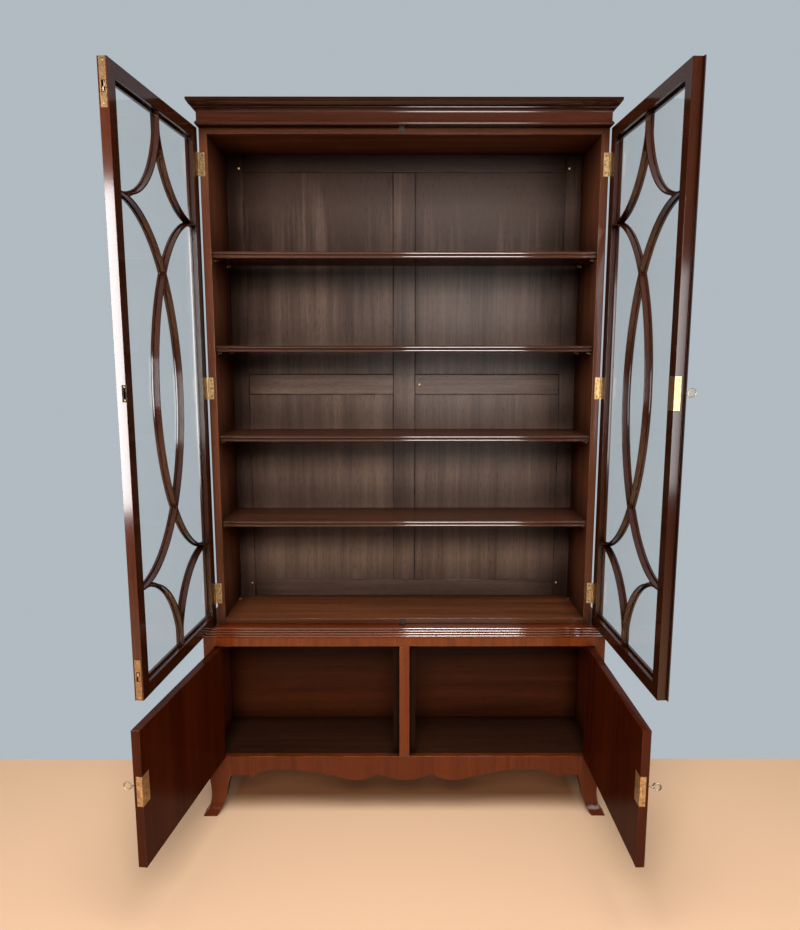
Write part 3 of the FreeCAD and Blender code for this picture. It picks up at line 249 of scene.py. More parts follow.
def makeGrainGroup():
    tree, start, end = newGroup(
        "woodGrain",
        {"Vector": "Vector", "Tone": "Float", "Light": "Color", "Dark": "Color", "Figure": "Float",
         "Pores": "Float"},
        {"Color": "Color", "Height": "Float"})
    layers = {}
    for row, (name, (scale, detail, distortion)) in enumerate(grainLook["layers"].items()):
        mapping = addNode(tree, "Mapping", (-5, 2 - row), {"Scale": scale})
        noise = addNode(tree, "TexNoise", (-4, 2 - row),
                        {"Scale": 1.0, "Detail": detail, "Distortion": distortion})
        link(tree, ((start, "Vector"), (mapping, "Vector")), ((mapping, 0), (noise, "Vector")))
        layers[name] = noise
    weighed = {}
    for row, (name, strength) in enumerate(grainLook["strengths"].items()):
        level = addNode(tree, "Math", (-3, 2 - row), {1: grainLook["noiseMiddle"]}, operation="SUBTRACT")
        scaled = addNode(tree, "Math", (-2, 2 - row), {1: strength}, operation="MULTIPLY")
        link(tree, ((layers[name], 0), (level, 0)), ((level, 0), (scaled, 0)))
        weighed[name] = scaled
    figured = addNode(tree, "Math", (-1, 2), operation="MULTIPLY")
    withRibbon = addNode(tree, "Math", (0, 1), operation="ADD")
    withStreak = addNode(tree, "Math", (1, 1), operation="ADD")
    toned = addNode(tree, "Math", (2, 1), operation="ADD", use_clamp=True)
    colour = addNode(tree, "Mix", (3, 1), data_type="RGBA")
    link(tree, ((weighed["figure"], 0), (figured, 0)), ((start, "Figure"), (figured, 1)),
         ((figured, 0), (withRibbon, 0)), ((weighed["ribbon"], 0), (withRibbon, 1)),
         ((withRibbon, 0), (withStreak, 0)), ((weighed["streak"], 0), (withStreak, 1)),
         ((withStreak, 0), (toned, 0)), ((start, "Tone"), (toned, 1)), ((toned, 0), (colour, 0)),
         ((start, "Dark"), (colour, firstColour)), ((start, "Light"), (colour, secondColour)))
    pits = ramp(tree, (-2, -2), grainLook["pits"])
    pitted = addNode(tree, "Math", (0, -2), operation="MULTIPLY")
    darker = addNode(tree, "Mix", (4, 1), {secondColour: (*grainLook["pitColour"], 1)}, data_type="RGBA",
                     blend_type="MULTIPLY")
    depth = addNode(tree, "Math", (3, -1), operation="SUBTRACT")
    link(tree, ((layers["pore"], 0), (pits, 0)), ((pits, 0), (pitted, 0)), ((start, "Pores"), (pitted, 1)),
         ((pitted, 0), (darker, 0)), ((colour, mixedColour), (darker, firstColour)),
         ((darker, mixedColour), (end, "Color")), ((weighed["streak"], 0), (depth, 0)),
         ((pitted, 0), (depth, 1)), ((depth, 0), (end, "Height")))
    return tree


# Wear and painted shade: other-coloured, rougher edges and small knocks, broken up by noise, and painted
# shade in corners and creases, where the colour is darkened and the polish doesn't shine.
wearAndShadeLook = {
    "patches": {"Scale": 14.0, "Detail": 5.0},
    "cloud": {"Scale": 3.2, "Detail": 4.0},
    "broken": ((0.45, 0.0), (0.62, 1.0)),
    "cloudMiddle": 0.5,
    "rougher": 0.2,
    "openToDeep": (0.95, 0.45),
    "cornerSamples": 4,
    # painted shade: the colour multiplied into corners and creases
    "paintedCornerShade": (0.16, 0.13, 0.13),
}


def makeWearAndShadeGroup():
    tree, start, end = newGroup(
        "edgeWear",
        {"Color": "Color", "Worn": "Color", "Edge": "Float", "Amount": "Float", "Roughness": "Float",
         "Spread": "Float", "Crease": "Float", "Reach": "Float"},
        {"Color": "Color", "Roughness": "Float", "Open": "Float"})
    place = addNode(tree, "TexCoord", (-6, -2))
    patches = addNode(tree, "TexNoise", (-4, -1), wearAndShadeLook["patches"])
    cloud = addNode(tree, "TexNoise", (-4, -2), wearAndShadeLook["cloud"])
    broken = ramp(tree, (-3, -1), wearAndShadeLook["broken"])
    onEdge = addNode(tree, "Math", (-1, 0), operation="MULTIPLY")
    mask = addNode(tree, "Math", (0, 0), operation="MULTIPLY")
    colour = addNode(tree, "Mix", (2, 1), data_type="RGBA")
    swing = addNode(tree, "Math", (-2, -2), {1: wearAndShadeLook["cloudMiddle"]}, operation="SUBTRACT")
    rough = addNode(tree, "Math", (0, -2), operation="MULTIPLY_ADD")
    rougher = addNode(tree, "Math", (2, -2), {1: wearAndShadeLook["rougher"]}, operation="MULTIPLY_ADD")
    # An ambient occlusion mask paints shade into corners and creases, and takes the shine of the polish off
    # there.
    corners = addNode(tree, "AmbientOcclusion", (-1, 3), samples=wearAndShadeLook["cornerSamples"])
    deep = fade(tree, (1, 3), wearAndShadeLook["openToDeep"])
    crease = addNode(tree, "Math", (2, 3), operation="MULTIPLY")
    opened = addNode(tree, "Math", (4, 3), {0: 1}, operation="SUBTRACT", use_clamp=True)
    darkened = addNode(tree, "Mix", (4, 2), {secondColour: (*wearAndShadeLook["paintedCornerShade"], 1)}, data_type="RGBA",
                       blend_type="MULTIPLY")
    link(tree, ((place, "Object"), (patches, "Vector")), ((place, "Object"), (cloud, "Vector")),
         ((patches, 0), (broken, 0)), ((broken, 0), (onEdge, 0)), ((start, "Edge"), (onEdge, 1)),
         ((onEdge, 0), (mask, 0)), ((start, "Amount"), (mask, 1)), ((mask, 0), (colour, 0)),
         ((start, "Color"), (colour, firstColour)), ((start, "Worn"), (colour, secondColour)),
         ((start, "Reach"), (corners, "Distance")), ((corners, "AO"), (deep, "Value")),
         ((deep, 0), (crease, 0)), ((start, "Crease"), (crease, 1)), ((crease, 0), (darkened, 0)),
         ((colour, mixedColour), (darkened, firstColour)), ((darkened, mixedColour), (end, "Color")),
         ((cloud, 0), (swing, 0)), ((swing, 0), (rough, 0)), ((start, "Spread"), (rough, 1)),
         ((start, "Roughness"), (rough, 2)), ((mask, 0), (rougher, 0)), ((rough, 0), (rougher, 2)),
         ((rougher, 0), (end, "Roughness")), ((crease, 0), (opened, 1)), ((opened, 0), (end, "Open")))
    return tree


grainGroup = makeGrainGroup()
wearAndShadeGroup = makeWearAndShadeGroup()

# Finishes of the wood. A finish has its own base colours, and where it doesn't say otherwise its figure,
# pores, wear, painted corner shade and polish are those of the plain wood.
plainWood = {"figure": 0.8, "pores": 0.5, "wear": 0.4, "roughness": 0.45, "spread": 0.14, "coat": 0.4,
             "coatRoughness": 0.10, "coatIor": 1.6, "crease": 0.8, "reach": 0.05, "bump": 0.05,
             "bumpDepth": 0.0006}
woods = {
    "caseMahogany": {"light": (0.165, 0.056, 0.025), "dark": (0.034, 0.010, 0.005),
                     "worn": (0.20, 0.075, 0.03), "coat": 0.45, "coatRoughness": 0.12, "reach": 0.12},
    "caseFloor": {"light": (0.165, 0.052, 0.020), "dark": (0.038, 0.012, 0.005), "worn": (0.30, 0.11, 0.04),
                  "wear": 0.5, "coat": 0.7, "bump": 0.06},
    "shelfMahogany": {"light": (0.072, 0.026, 0.014), "dark": (0.014, 0.0045, 0.0024),
                      "worn": (0.13, 0.045, 0.02), "coat": 1.0, "coatRoughness": 0.07, "coatIor": 1.65,
                      "bump": 0.04},
    # The doors' near-black edge colour darkens the eased edges of the stiles, rails and glazing bars.
    "doorMahogany": {"light": (0.044, 0.0105, 0.0034), "dark": (0.009, 0.002, 0.0008),
                     "worn": (0.008, 0.004, 0.003), "wear": 0.9, "coat": 0.9},
    # doorEdge: a lighter copy of doorMahogany, painted light on the left door's meeting edge.
    "doorEdge": {"light": (0.094, 0.021, 0.0075), "dark": (0.026, 0.0050, 0.0018),
                 "worn": (0.008, 0.004, 0.003), "wear": 0.9, "coat": 0.9},
    "corniceMahogany": {"light": (0.074, 0.021, 0.0095), "dark": (0.016, 0.0042, 0.002),
                        "worn": (0.12, 0.042, 0.018), "coat": 0.45},
    "topMahogany": {"light": (0.170, 0.033, 0.008), "dark": (0.040, 0.0075, 0.002),
                    "worn": (0.26, 0.09, 0.035), "coat": 1.0, "coatRoughness": 0.06, "coatIor": 2.0,
                    "bump": 0.04},
    "crossBanding": {"light": (0.190, 0.040, 0.0085), "dark": (0.066, 0.0115, 0.0025),
                     "worn": (0.30, 0.11, 0.042), "figure": 0.5, "pores": 0.45, "wear": 0.6},
    # paintedShadeBanding: crossBanding painted darker, as shade near the floor, on the base sides, aprons
    # and feet.
    "paintedShadeBanding": {"light": (0.142, 0.027, 0.0055), "dark": (0.046, 0.0074, 0.0015),
                     "worn": (0.26, 0.10, 0.04), "figure": 0.5, "pores": 0.45, "wear": 0.6},
    "doorVeneer": {"light": (0.060, 0.0095, 0.002), "dark": (0.017, 0.0022, 0.0005),
                   "worn": (0.17, 0.05, 0.02), "figure": 1.1, "pores": 0.4, "wear": 0.45, "spread": 0.12,
                   "coat": 0.25},
    "doorFront": {"light": (0.160, 0.031, 0.0065), "dark": (0.040, 0.0065, 0.0014),
                  "worn": (0.26, 0.09, 0.035), "figure": 1.4, "pores": 0.4, "spread": 0.12},
    # The back boards' near-black edge colour paints shadow lines along the eased edges of the panels and
    # frame members.
    "backBoards": {"light": (0.205, 0.129, 0.092), "dark": (0.046, 0.0250, 0.0165),
                   "worn": (0.008, 0.004, 0.0025), "figure": 1.0, "pores": 0.7, "wear": 1.0,
                   "roughness": 0.42, "spread": 0.2, "coat": 0.16, "coatRoughness": 0.32, "crease": 1.0,
                   "reach": 0.16, "bump": 0.12},
    "innerWood": {"light": (0.070, 0.017, 0.005), "dark": (0.017, 0.004, 0.0015),
                  "worn": (0.12, 0.045, 0.02), "figure": 0.9, "pores": 0.6, "wear": 0.3, "roughness": 0.5,
                  "spread": 0.2, "coat": 0.1, "coatRoughness": 0.3, "bump": 0.12},
    # darkInnerWood: a darker copy of innerWood, for the cupboard floor and the door-stop batten.
    "darkInnerWood": {"light": (0.034, 0.012, 0.006), "dark": (0.010, 0.004, 0.002), "worn": (0.05, 0.02, 0.01),
                  "figure": 0.9, "pores": 0.6, "wear": 0.3, "roughness": 0.55, "spread": 0.2, "coat": 0.05,
                  "coatRoughness": 0.3, "bump": 0.12},
}


def makeWood(name, look):  # only the polish over the wood shines
    material, tree, surface = newMaterial(
        name,
        {"Specular IOR Level": 0, "Coat IOR": look["coatIor"], "Coat Roughness": look["coatRoughness"]})
    lay = addNode(tree, "Attribute", (-8, 1), attribute_name="grain")
    tone = addNode(tree, "Attribute", (-8, 0), attribute_name="tone")
    edge = addNode(tree, "Attribute", (-8, -1), attribute_name="edge")
    polish = addNode(tree, "Attribute", (-8, -2), attribute_name="polish")
    polished = addNode(tree, "Math", (-4, -2), {1: look["coat"]}, operation="MULTIPLY")
    coat = addNode(tree, "Math", (-1, -2), operation="MULTIPLY")
    grainInputs = {"Light": (*look["light"], 1), "Dark": (*look["dark"], 1), "Figure": look["figure"],
                   "Pores": look["pores"]}
    grain = addNode(tree, "Group", (-5, 1), grainInputs, node_tree=grainGroup)
    # Crease and Reach set how dark the painted corner shade is and how far it reaches.
    wearInputs = {"Worn": (*look["worn"], 1), "Amount": look["wear"], "Roughness": look["roughness"],
                  "Spread": look["spread"], "Crease": look["crease"], "Reach": look["reach"]}
    wear = addNode(tree, "Group", (-3, 0), wearInputs, node_tree=wearAndShadeGroup)
    bump = addNode(tree, "Bump", (-2, -2), {"Strength": look["bump"], "Distance": look["bumpDepth"]})
    link(tree, ((lay, "Vector"), (grain, "Vector")), ((tone, "Fac"), (grain, "Tone")),
         ((grain, "Color"), (wear, "Color")), ((edge, "Fac"), (wear, "Edge")),
         ((wear, "Color"), (surface, "Base Color")), ((wear, "Roughness"), (surface, "Roughness")),
         ((grain, "Height"), (bump, "Height")), ((bump, 0), (surface, "Normal")),
         ((polish, "Fac"), (polished, 0)), ((polished, 0), (coat, 0)), ((wear, "Open"), (coat, 1)),
         ((coat, 0), (surface, "Coat Weight")))
    return material


materials = {name: makeWood(name, {**plainWood, **look}) for name, look in woods.items()}

# Metals and glass. Stains dull the bright metal, and fine brush marks run along Z.
metals = {
    "agedBrass": {"bright": (0.85, 0.60, 0.32), "dull": (0.45, 0.26, 0.11), "roughness": 0.26},
    "hingeBrass": {"bright": (0.48, 0.32, 0.15), "dull": (0.15, 0.085, 0.035), "roughness": 0.36},
    "screwBrass": {"bright": (0.60, 0.40, 0.20), "dull": (0.20, 0.11, 0.05), "roughness": 0.34},
    "tarnishedBrass": {"bright": (0.42, 0.25, 0.12), "dull": (0.17, 0.085, 0.035), "roughness": 0.32},
    "dullBrass": {"bright": (0.16, 0.10, 0.045), "dull": (0.05, 0.03, 0.015), "roughness": 0.34},
    # blackIron paints the shade of the strike's mortise over the strike plate, and makes the bolt keepers
    # near-black.
    "blackIron": {"bright": (0.060, 0.045, 0.035), "dull": (0.015, 0.012, 0.010), "roughness": 0.45},
    "keySteel": {"bright": (0.62, 0.50, 0.34), "dull": (0.28, 0.20, 0.13), "roughness": 0.28},
}
metalLook = {
    "stain": {"Scale": 130.0, "Detail": 6.0, "Distortion": 0.6},
    "patches": ((0.32, 0.0), (0.78, 1.0)),
    "brushScale": (1500, 1500, 90),
    "brush": {"Scale": 1.0, "Detail": 2.0},
    "scratches": {"Strength": 0.08, "Distance": 0.0003},
    "rougher": 0.25,
}


def makeMetal(name, look):
    material, tree, surface = newMaterial(name, {"Metallic": 1})
    place = addNode(tree, "TexCoord", (-8, 0))
    stain = addNode(tree, "TexNoise", (-6, 1), metalLook["stain"])
    stretch = addNode(tree, "Mapping", (-7, -1), {"Scale": metalLook["brushScale"]})
    brush = addNode(tree, "TexNoise", (-6, -1), metalLook["brush"])
    patches = ramp(tree, (-4, 1), metalLook["patches"])
    colours = {firstColour: (*look["bright"], 1), secondColour: (*look["dull"], 1)}
    colour = addNode(tree, "Mix", (-2, 1), colours, data_type="RGBA")
    roughness = {1: metalLook["rougher"], 2: look["roughness"]}
    rough = addNode(tree, "Math", (-2, 0), roughness, operation="MULTIPLY_ADD")
    bump = addNode(tree, "Bump", (-2, -2), metalLook["scratches"])
    link(tree, ((place, "Object"), (stain, "Vector")), ((place, "Object"), (stretch, "Vector")),
         ((stretch, 0), (brush, "Vector")), ((stain, 0), (patches, 0)), ((patches, 0), (colour, 0)),
         ((patches, 0), (rough, 0)), ((colour, mixedColour), (surface, "Base Color")),
         ((rough, 0), (surface, "Roughness")), ((brush, 0), (bump, "Height")),
         ((bump, 0), (surface, "Normal")))
    return material


for name, look in metals.items():
    materials[name] = makeMetal(name, look)

glass = {
    "tint": (0.99, 1.0, 0.995),
    "ior": 1.18,
    "roughness": 0.01,
    "ripple": {"Scale": 7.0, "Detail": 1.0},
    "wave": {"Strength": 0.05, "Distance": 0.004},
}


def makeGlass():
    material, tree, surface = newMaterial(
        "windowGlass",
        {"Base Color": (*glass["tint"], 1), "Transmission Weight": 1, "Roughness": glass["roughness"],
         "IOR": glass["ior"]})
    place = addNode(tree, "TexCoord", (-6, 0))
    ripple = addNode(tree, "TexNoise", (-4, 0), glass["ripple"])
    bump = addNode(tree, "Bump", (-2, 0), glass["wave"])
    link(tree, ((place, "Object"), (ripple, "Vector")), ((ripple, 0), (bump, "Height")),
         ((bump, 0), (surface, "Normal")))
    return material


materials["windowGlass"] = makeGlass()
print("materials made:", len(materials))

# The wooden pieces: a copy of each board with its edges eased. Each row has the finish, the width of the
# eased edges, the lay of the grain and the boards. The grain "long" follows the board's longest side, and
# the grain "up" stands upright.
boards = [
    ("caseMahogany", 0.0008, "long", ["upper_left_side", "upper_right_side"]),
    ("caseMahogany", 0.0006, "long", ["upper_top_board"]),
    ("caseFloor", 0.0010, "long", ["upper_bottom_board"]),
    ("shelfMahogany", 0.0006, "long", ["shelf_1", "shelf_2", "shelf_3", "shelf_4"]),
    ("backBoards", 0.0004, "up", ["back_panels"]),
    ("corniceMahogany", 0.0006, "long", ["cornice_front", "cornice_returns"]),
    ("innerWood", 0.0010, "long", ["cornice_back_rail", "cornice_top_board"]),
    ("topMahogany", 0.0006, "long", ["base_top"]),
    ("paintedShadeBanding", 0.0008, "up", ["base_left_side", "base_right_side"]),
    ("darkInnerWood", 0.0008, "long", ["base_floor"]),
    ("innerWood", 0.0008, "long", ["base_back"]),
    ("crossBanding", 0.0006, "up", ["base_top_rail", "base_end_stiles", "base_centre_stile"]),
    ("darkInnerWood", 0.0008, "long", ["door_stop_batten"]),
    ("paintedShadeBanding", 0.0008, "up", ["aprons"]),
    ("paintedShadeBanding", 0.0014, "up", ["front_feet", "rear_feet"]),
    ("doorMahogany", 0.0005, "long", ["left_door_stiles", "left_door_rails"]),
    ("doorMahogany", 0.0007, "up", ["left_glazing_bars"]),
    ("doorMahogany", 0.0005, "long", ["right_door_stiles", "right_door_rails"]),
    ("doorMahogany", 0.0007, "up", ["right_glazing_bars"]),
    ("doorMahogany", 0.0004, "long", ["cover_bead"]),
    ("doorVeneer", 0.0005, "up", ["left_cupboard_door", "right_cupboard_door"]),
]
# Faces with a finish of their own: the show veneer on the outside of the cupboard doors, and the meeting
# edge of the left door, which is painted lighter as lit. On the shut door they look along "facing" and lie
# beyond "least" on it.
ownFaces = {
    "left_cupboard_door": {"finish": "doorFront", "facing": (0, -1, 0), "least": -1.0},
    "right_cupboard_door": {"finish": "doorFront", "facing": (0, -1, 0), "least": -1.0},
    "left_door_stiles": {"finish": "doorEdge", "facing": (1, 0, 0), "least": -0.05},
}
recordSlot = {row["node"]: row["material_slot"] for row in frame["record"]["subparts"]}


def pieceName(node):
    words = node.split("_")
    return words[0] + "".join(word.title() for word in words[1:])


def solidNumbers(mesh):  # numbers the separate solids of a mesh, vertex by vertex
    ends = np.empty(len(mesh.edges) * 2, int)
    mesh.edges.foreach_get("vertices", ends)
    ends = ends.reshape(-1, 2)
    labels = np.arange(len(mesh.vertices))
    while True:
        lower = np.minimum(labels[ends[:, 0]], labels[ends[:, 1]])
        before = labels.copy()
        np.minimum.at(labels, ends[:, 0], lower)
        np.minimum.at(labels, ends[:, 1], lower)
        labels = labels[labels]
        if (labels == before).all():
            return np.unique(labels, return_inverse=True)[1]


# The flats inside the case are satin, and the fronts and mouldings are polished.
insideCase = {"halfWidth": 0.575, "front": backPlane - 0.295, "flat": 0.98, "polish": 0.25,
              "doorInside": 0.5}

# These pieces have painted shade towards their tops, where the cornice's top moulding faces down and the
# back lies under the top board: the height where it starts, and by how much.
paintedShadeTops = {"corniceFront": (2.052, 0.7), "corniceReturns": (2.052, 0.7), "backPanels": (1.5, 0.70),
             "backMember": (1.4, 0.40)}


# Writes the lay of the grain, the tone of each board, the eased edges and the polish as attributes.
def layGrain(piece, body, lay, easedFaces, tones=grainLook["tones"]):
    mesh = piece.data
    places = np.empty(len(mesh.vertices) * 3)
    mesh.vertices.foreach_get("co", places)
    shut = np.array(toShut(body))
    drawn = places.reshape(-1, 3) @ shut[:3, :3].T + shut[:3, 3]
    solid = solidNumbers(mesh)
    reach = grainLook["startsWithin"]
    grain = np.zeros_like(drawn)
    tone = np.zeros(len(drawn))
    for number in range(solid.max() + 1):
        own = solid == number
        along = 2 if lay == "up" else int(np.ptp(drawn[own], axis=0).argmax())
        order = [axis for axis in range(3) if axis != along] + [along]
        grain[own] = drawn[own][:, order] + [dice.uniform(-reach, reach) for _ in range(3)]
        tone[own] = dice.uniform(*tones)
    # painted shade: the tone drops above the given height
    above, darker = paintedShadeTops.get(piece.name.split(".")[0], (math.inf, 0))
    tone[drawn[:, 2] > above] -= darker
    edge = np.zeros(len(mesh.polygons))
    edge[list(easedFaces)] = 1
    polish = np.ones(len(mesh.polygons))
    if body == "carcass":
        for face in mesh.polygons:
            flat = max(abs(face.normal.x), face.normal.y, abs(face.normal.z)) > insideCase["flat"]
            inside = abs(face.center.x) < insideCase["halfWidth"] and face.center.y > insideCase["front"]
            if flat and inside:
                polish[face.index] = insideCase["polish"]
    elif body.endswith("door"):
        for face in mesh.polygons:
            if (shut[:3, :3] @ np.array(face.normal))[1] > insideCase["flat"]:
                polish[face.index] = insideCase["doorInside"]
    mesh.attributes.new("grain", "FLOAT_VECTOR", "POINT").data.foreach_set("vector", grain.ravel())
    mesh.attributes.new("tone", "FLOAT", "POINT").data.foreach_set("value", tone)
    mesh.attributes.new("edge", "FLOAT", "FACE").data.foreach_set("value", edge)
    mesh.attributes.new("polish", "FLOAT", "FACE").data.foreach_set("value", polish)


def easeEdges(piece, width):  # returns the faces of the eased edges
    mesh = piece.data
    mesh.materials.clear()
    mesh.materials.append(None)
    mesh.materials.append(None)
    applyModifier(piece, "BEVEL", width=width, segments=meshWork["bevelSteps"], limit_method="ANGLE",
                  angle_limit=math.radians(meshWork["bevel"]), use_clamp_overlap=False, material=1)
    eased = [face.index for face in mesh.polygons if face.material_index == 1]
    for face in mesh.polygons:
        face.material_index = 0
    return eased


def mergedCopy(node, name):
    copy = bpy.data.objects.new(name, nodes[node].data.copy())
    bpy.context.scene.collection.objects.link(copy)
    copy.data.name = name
    pick(copy)
    bpy.ops.object.mode_set(mode="EDIT")
    bpy.ops.mesh.select_all(action="SELECT")
    bpy.ops.mesh.remove_doubles(threshold=meshWork["merge"])
    bpy.ops.mesh.dissolve_limited(angle_limit=math.radians(meshWork["dissolve"]))
    bpy.ops.object.mode_set(mode="OBJECT")
    return copy


def finishBoard(node, finish, ease, lay):
    body = bodyOf[node]
    piece = mergedCopy(node, pieceName(node))
    eased = easeEdges(piece, ease)
    layGrain(piece, body, lay, eased)
    smooth(piece, meshWork["smoothBoard"])
    dress(piece, materials[finish], recordSlot[node], body, node)
    if node in ownFaces:
        own = ownFaces[node]
        piece.data.materials.append(materials[own["finish"]])
        shut = toShut(body)
        facing = Vector(own["facing"])
        for face in piece.data.polygons:
            ahead = (shut.to_3x3() @ face.normal).dot(facing) > meshWork["facing"]
            face.material_index = int(ahead and (shut @ face.center).dot(facing) > own["least"])


for finish, ease, lay, names in boards:
    for node in names:
        finishBoard(node, finish, ease, lay)
print("boards eased")

# The framed back: stiles, rails and muntin round the four panels, with a small chamfer wide enough to carry
# the painted shadow lines.
framedBack = {
    "halfWidth": 0.540,
    "stile": 0.050,
    "muntin": 0.034,
    "low": 0.602,
    "high": 2.014,
    "bottomRail": 0.672,
    "topRail": 1.947,
    "midRail": (1.2785, 1.3405),
    "thick": 0.012,
    "ease": 0.0020,
    "tones": (0.32, 0.46),
}


def makeFramedBack():
    look = framedBack
    inner = look["halfWidth"] - look["stile"]
    spans = [
        ((-look["halfWidth"], look["low"]), (-inner, look["high"])),
        ((inner, look["low"]), (look["halfWidth"], look["high"])),
        ((-inner, look["topRail"]), (inner, look["high"])),
        ((-inner, look["low"]), (inner, look["bottomRail"])),
        ((-inner, look["midRail"][0]), (-look["muntin"], look["midRail"][1])),
        ((look["muntin"], look["midRail"][0]), (inner, look["midRail"][1])),
        ((-look["muntin"], look["bottomRail"]), (look["muntin"], look["topRail"])),
    ]
    members = []
    for (left, low), (right, high) in spans:
        middle = ((left + right) / 2, backPlane - look["thick"] / 2, (low + high) / 2)
        size = (right - left, look["thick"], high - low)
        bpy.ops.mesh.primitive_cube_add(size=1, location=middle, scale=size)
        member = bpy.context.active_object
        member.name = "backMember"
        settle(member)
        eased = easeEdges(member, look["ease"])
        layGrain(member, "carcass", "long", eased, look["tones"])
        smooth(member)
        members.append(member)
    piece = joined("backFrame", members)
    dress(piece, materials["backBoards"], "back_boards", "carcass", "back_frame")


makeFramedBack()
print("framed back made")

# A slotted screw, modelled once with its head on the origin and facing up, then copied.
screw = {"sides": 20, "radius": 0.0030, "thick": 0.001, "rimShare": 0.3, "dome": 0.0005, "slot": 0.00045,
         "slotDepth": 0.0005, "upward": 0.5}


def makeScrew():
    bpy.ops.mesh.primitive_cylinder_add(
        vertices=screw["sides"], radius=screw["radius"], depth=screw["thick"], location=(0, 0, 0))
    piece = bpy.context.active_object
    bpy.ops.object.mode_set(mode="EDIT")
    selectFaces(piece, lambda centre, normal: normal.z > meshWork["facing"])
    bpy.ops.mesh.inset(thickness=screw["radius"] * screw["rimShare"], depth=screw["dome"])
    for side in (-1, 1):
        bpy.ops.mesh.select_all(action="SELECT")
        bpy.ops.mesh.bisect(plane_co=(screw["slot"] * side, 0, 0), plane_no=(1, 0, 0))
    selectFaces(piece, lambda centre, normal: normal.z > screw["upward"] and abs(centre.x) < screw["slot"])
    bpy.ops.mesh.extrude_region_move(TRANSFORM_OT_translate={"value": (0, 0, -screw["slotDepth"])})
    bpy.ops.object.mode_set(mode="OBJECT")
    smooth(piece, meshWork["smoothTurned"])
    return piece


screwPattern = makeScrew()


def placedScrew(place, facing, size):
    piece = bpy.data.objects.new("screw", screwPattern.data.copy())
    bpy.context.scene.collection.objects.link(piece)
    turned = Matrix.Rotation(dice.uniform(0, math.pi), 4, "Z")
    aim = Vector(facing).to_track_quat("Z", "Y").to_matrix().to_4x4()
    piece.matrix_world = Matrix.Translation(place) @ aim @ turned @ Matrix.Scale(size, 4)
    settle(piece)
    return piece


# Screws of the hinges, and the planes of the shut doors that they and the locks lie in.
hingeScrews = {
    "doorHeights": (0.6975, 1.308, 1.9185),
    "cupboardHeights": (0.252, 0.4795),
    "offsets": (-0.0225, 0.0, 0.0225),
    "inset": 0.0075,
    "stagger": 0.002,
    "sunk": 0.0004,
    "size": 0.85,
}
fronts = {
    "carcassHalf": 0.562,
    "carcassFront": backPlane - 0.255,
    "doorInner": backPlane - 0.256,
    "doorOuter": backPlane - 0.2775,
    "baseFront": backPlane - 0.290,
    "baseInner": backPlane - 0.269,
    "stileFace": 0.5715,
    "cupboardHinge": 0.5705,
    "cupboardEdge": 0.016,
    "meeting": 0.0005,
}


def makeHingeScrews():
    look = hingeScrews
    sunk, size = look["sunk"], look["size"]
    groups = {"carcass": []}
    for side, name in ((-1, "left"), (1, "right")):
        door = name + "_glazed_door"
        cupboard = name + "_cupboard_door"
        groups[door] = []
        groups[cupboard] = []
        for height in look["doorHeights"]:
            for number, offset in enumerate(look["offsets"]):
                x = (fronts["carcassHalf"] - look["inset"] - look["stagger"] * (number % 2)) * side
                fixed = (x, fronts["carcassFront"] + sunk, height + offset)
                moving = (x, fronts["doorInner"] - sunk, height + offset)
                groups["carcass"].append(placedScrew(fixed, (0, -1, 0), size))
                groups[door].append(placedScrew(moving, (0, 1, 0), size))
        for height in look["cupboardHeights"]:
            for number, offset in enumerate(look["offsets"]):
                y = fronts["baseFront"] + look["inset"] + look["stagger"] * (number % 2)
                fixed = ((fronts["stileFace"] + sunk) * side, y, height + offset)
                moving = ((fronts["cupboardHinge"] - sunk) * side, y, height + offset)
                groups["carcass"].append(placedScrew(fixed, (-side, 0, 0), size))
                groups[cupboard].append(placedScrew(moving, (side, 0, 0), size))
    for body, pieces in groups.items():
        piece = joined(pieceName(body) + "HingeScrews", pieces)
        swingOut(piece, body)
        dress(piece, materials["dullBrass"], "brass", body)


makeHingeScrews()
print("hinge screws made")

# Round-headed screws in the floor of the bookcase and in its back.
fixings = {
    "floor": ((-0.533, 0.369, 0.6192), (0.533, 0.369, 0.6192)),
    "back": ((-0.501, 0.661), (0.501, 0.661), (-0.501, 1.958), (0.501, 1.958), (0.048, 1.3095)),
    "floorSize": 2.1,
    "backSize": 1.0,
    "proud": 0.0002,
}


def makeFixings():
    heads = [placedScrew(place, (0, 0, 1), fixings["floorSize"]) for place in fixings["floor"]]
    y = backPlane - framedBack["thick"] - fixings["proud"]
    for x, z in fixings["back"]:
        heads.append(placedScrew((x, y, z), (0, -1, 0), fixings["backSize"]))
    piece = joined("fixingScrewHeads", heads)
    dress(piece, materials["screwBrass"], "brass", "carcass", "fixing_screws")


makeFixings()

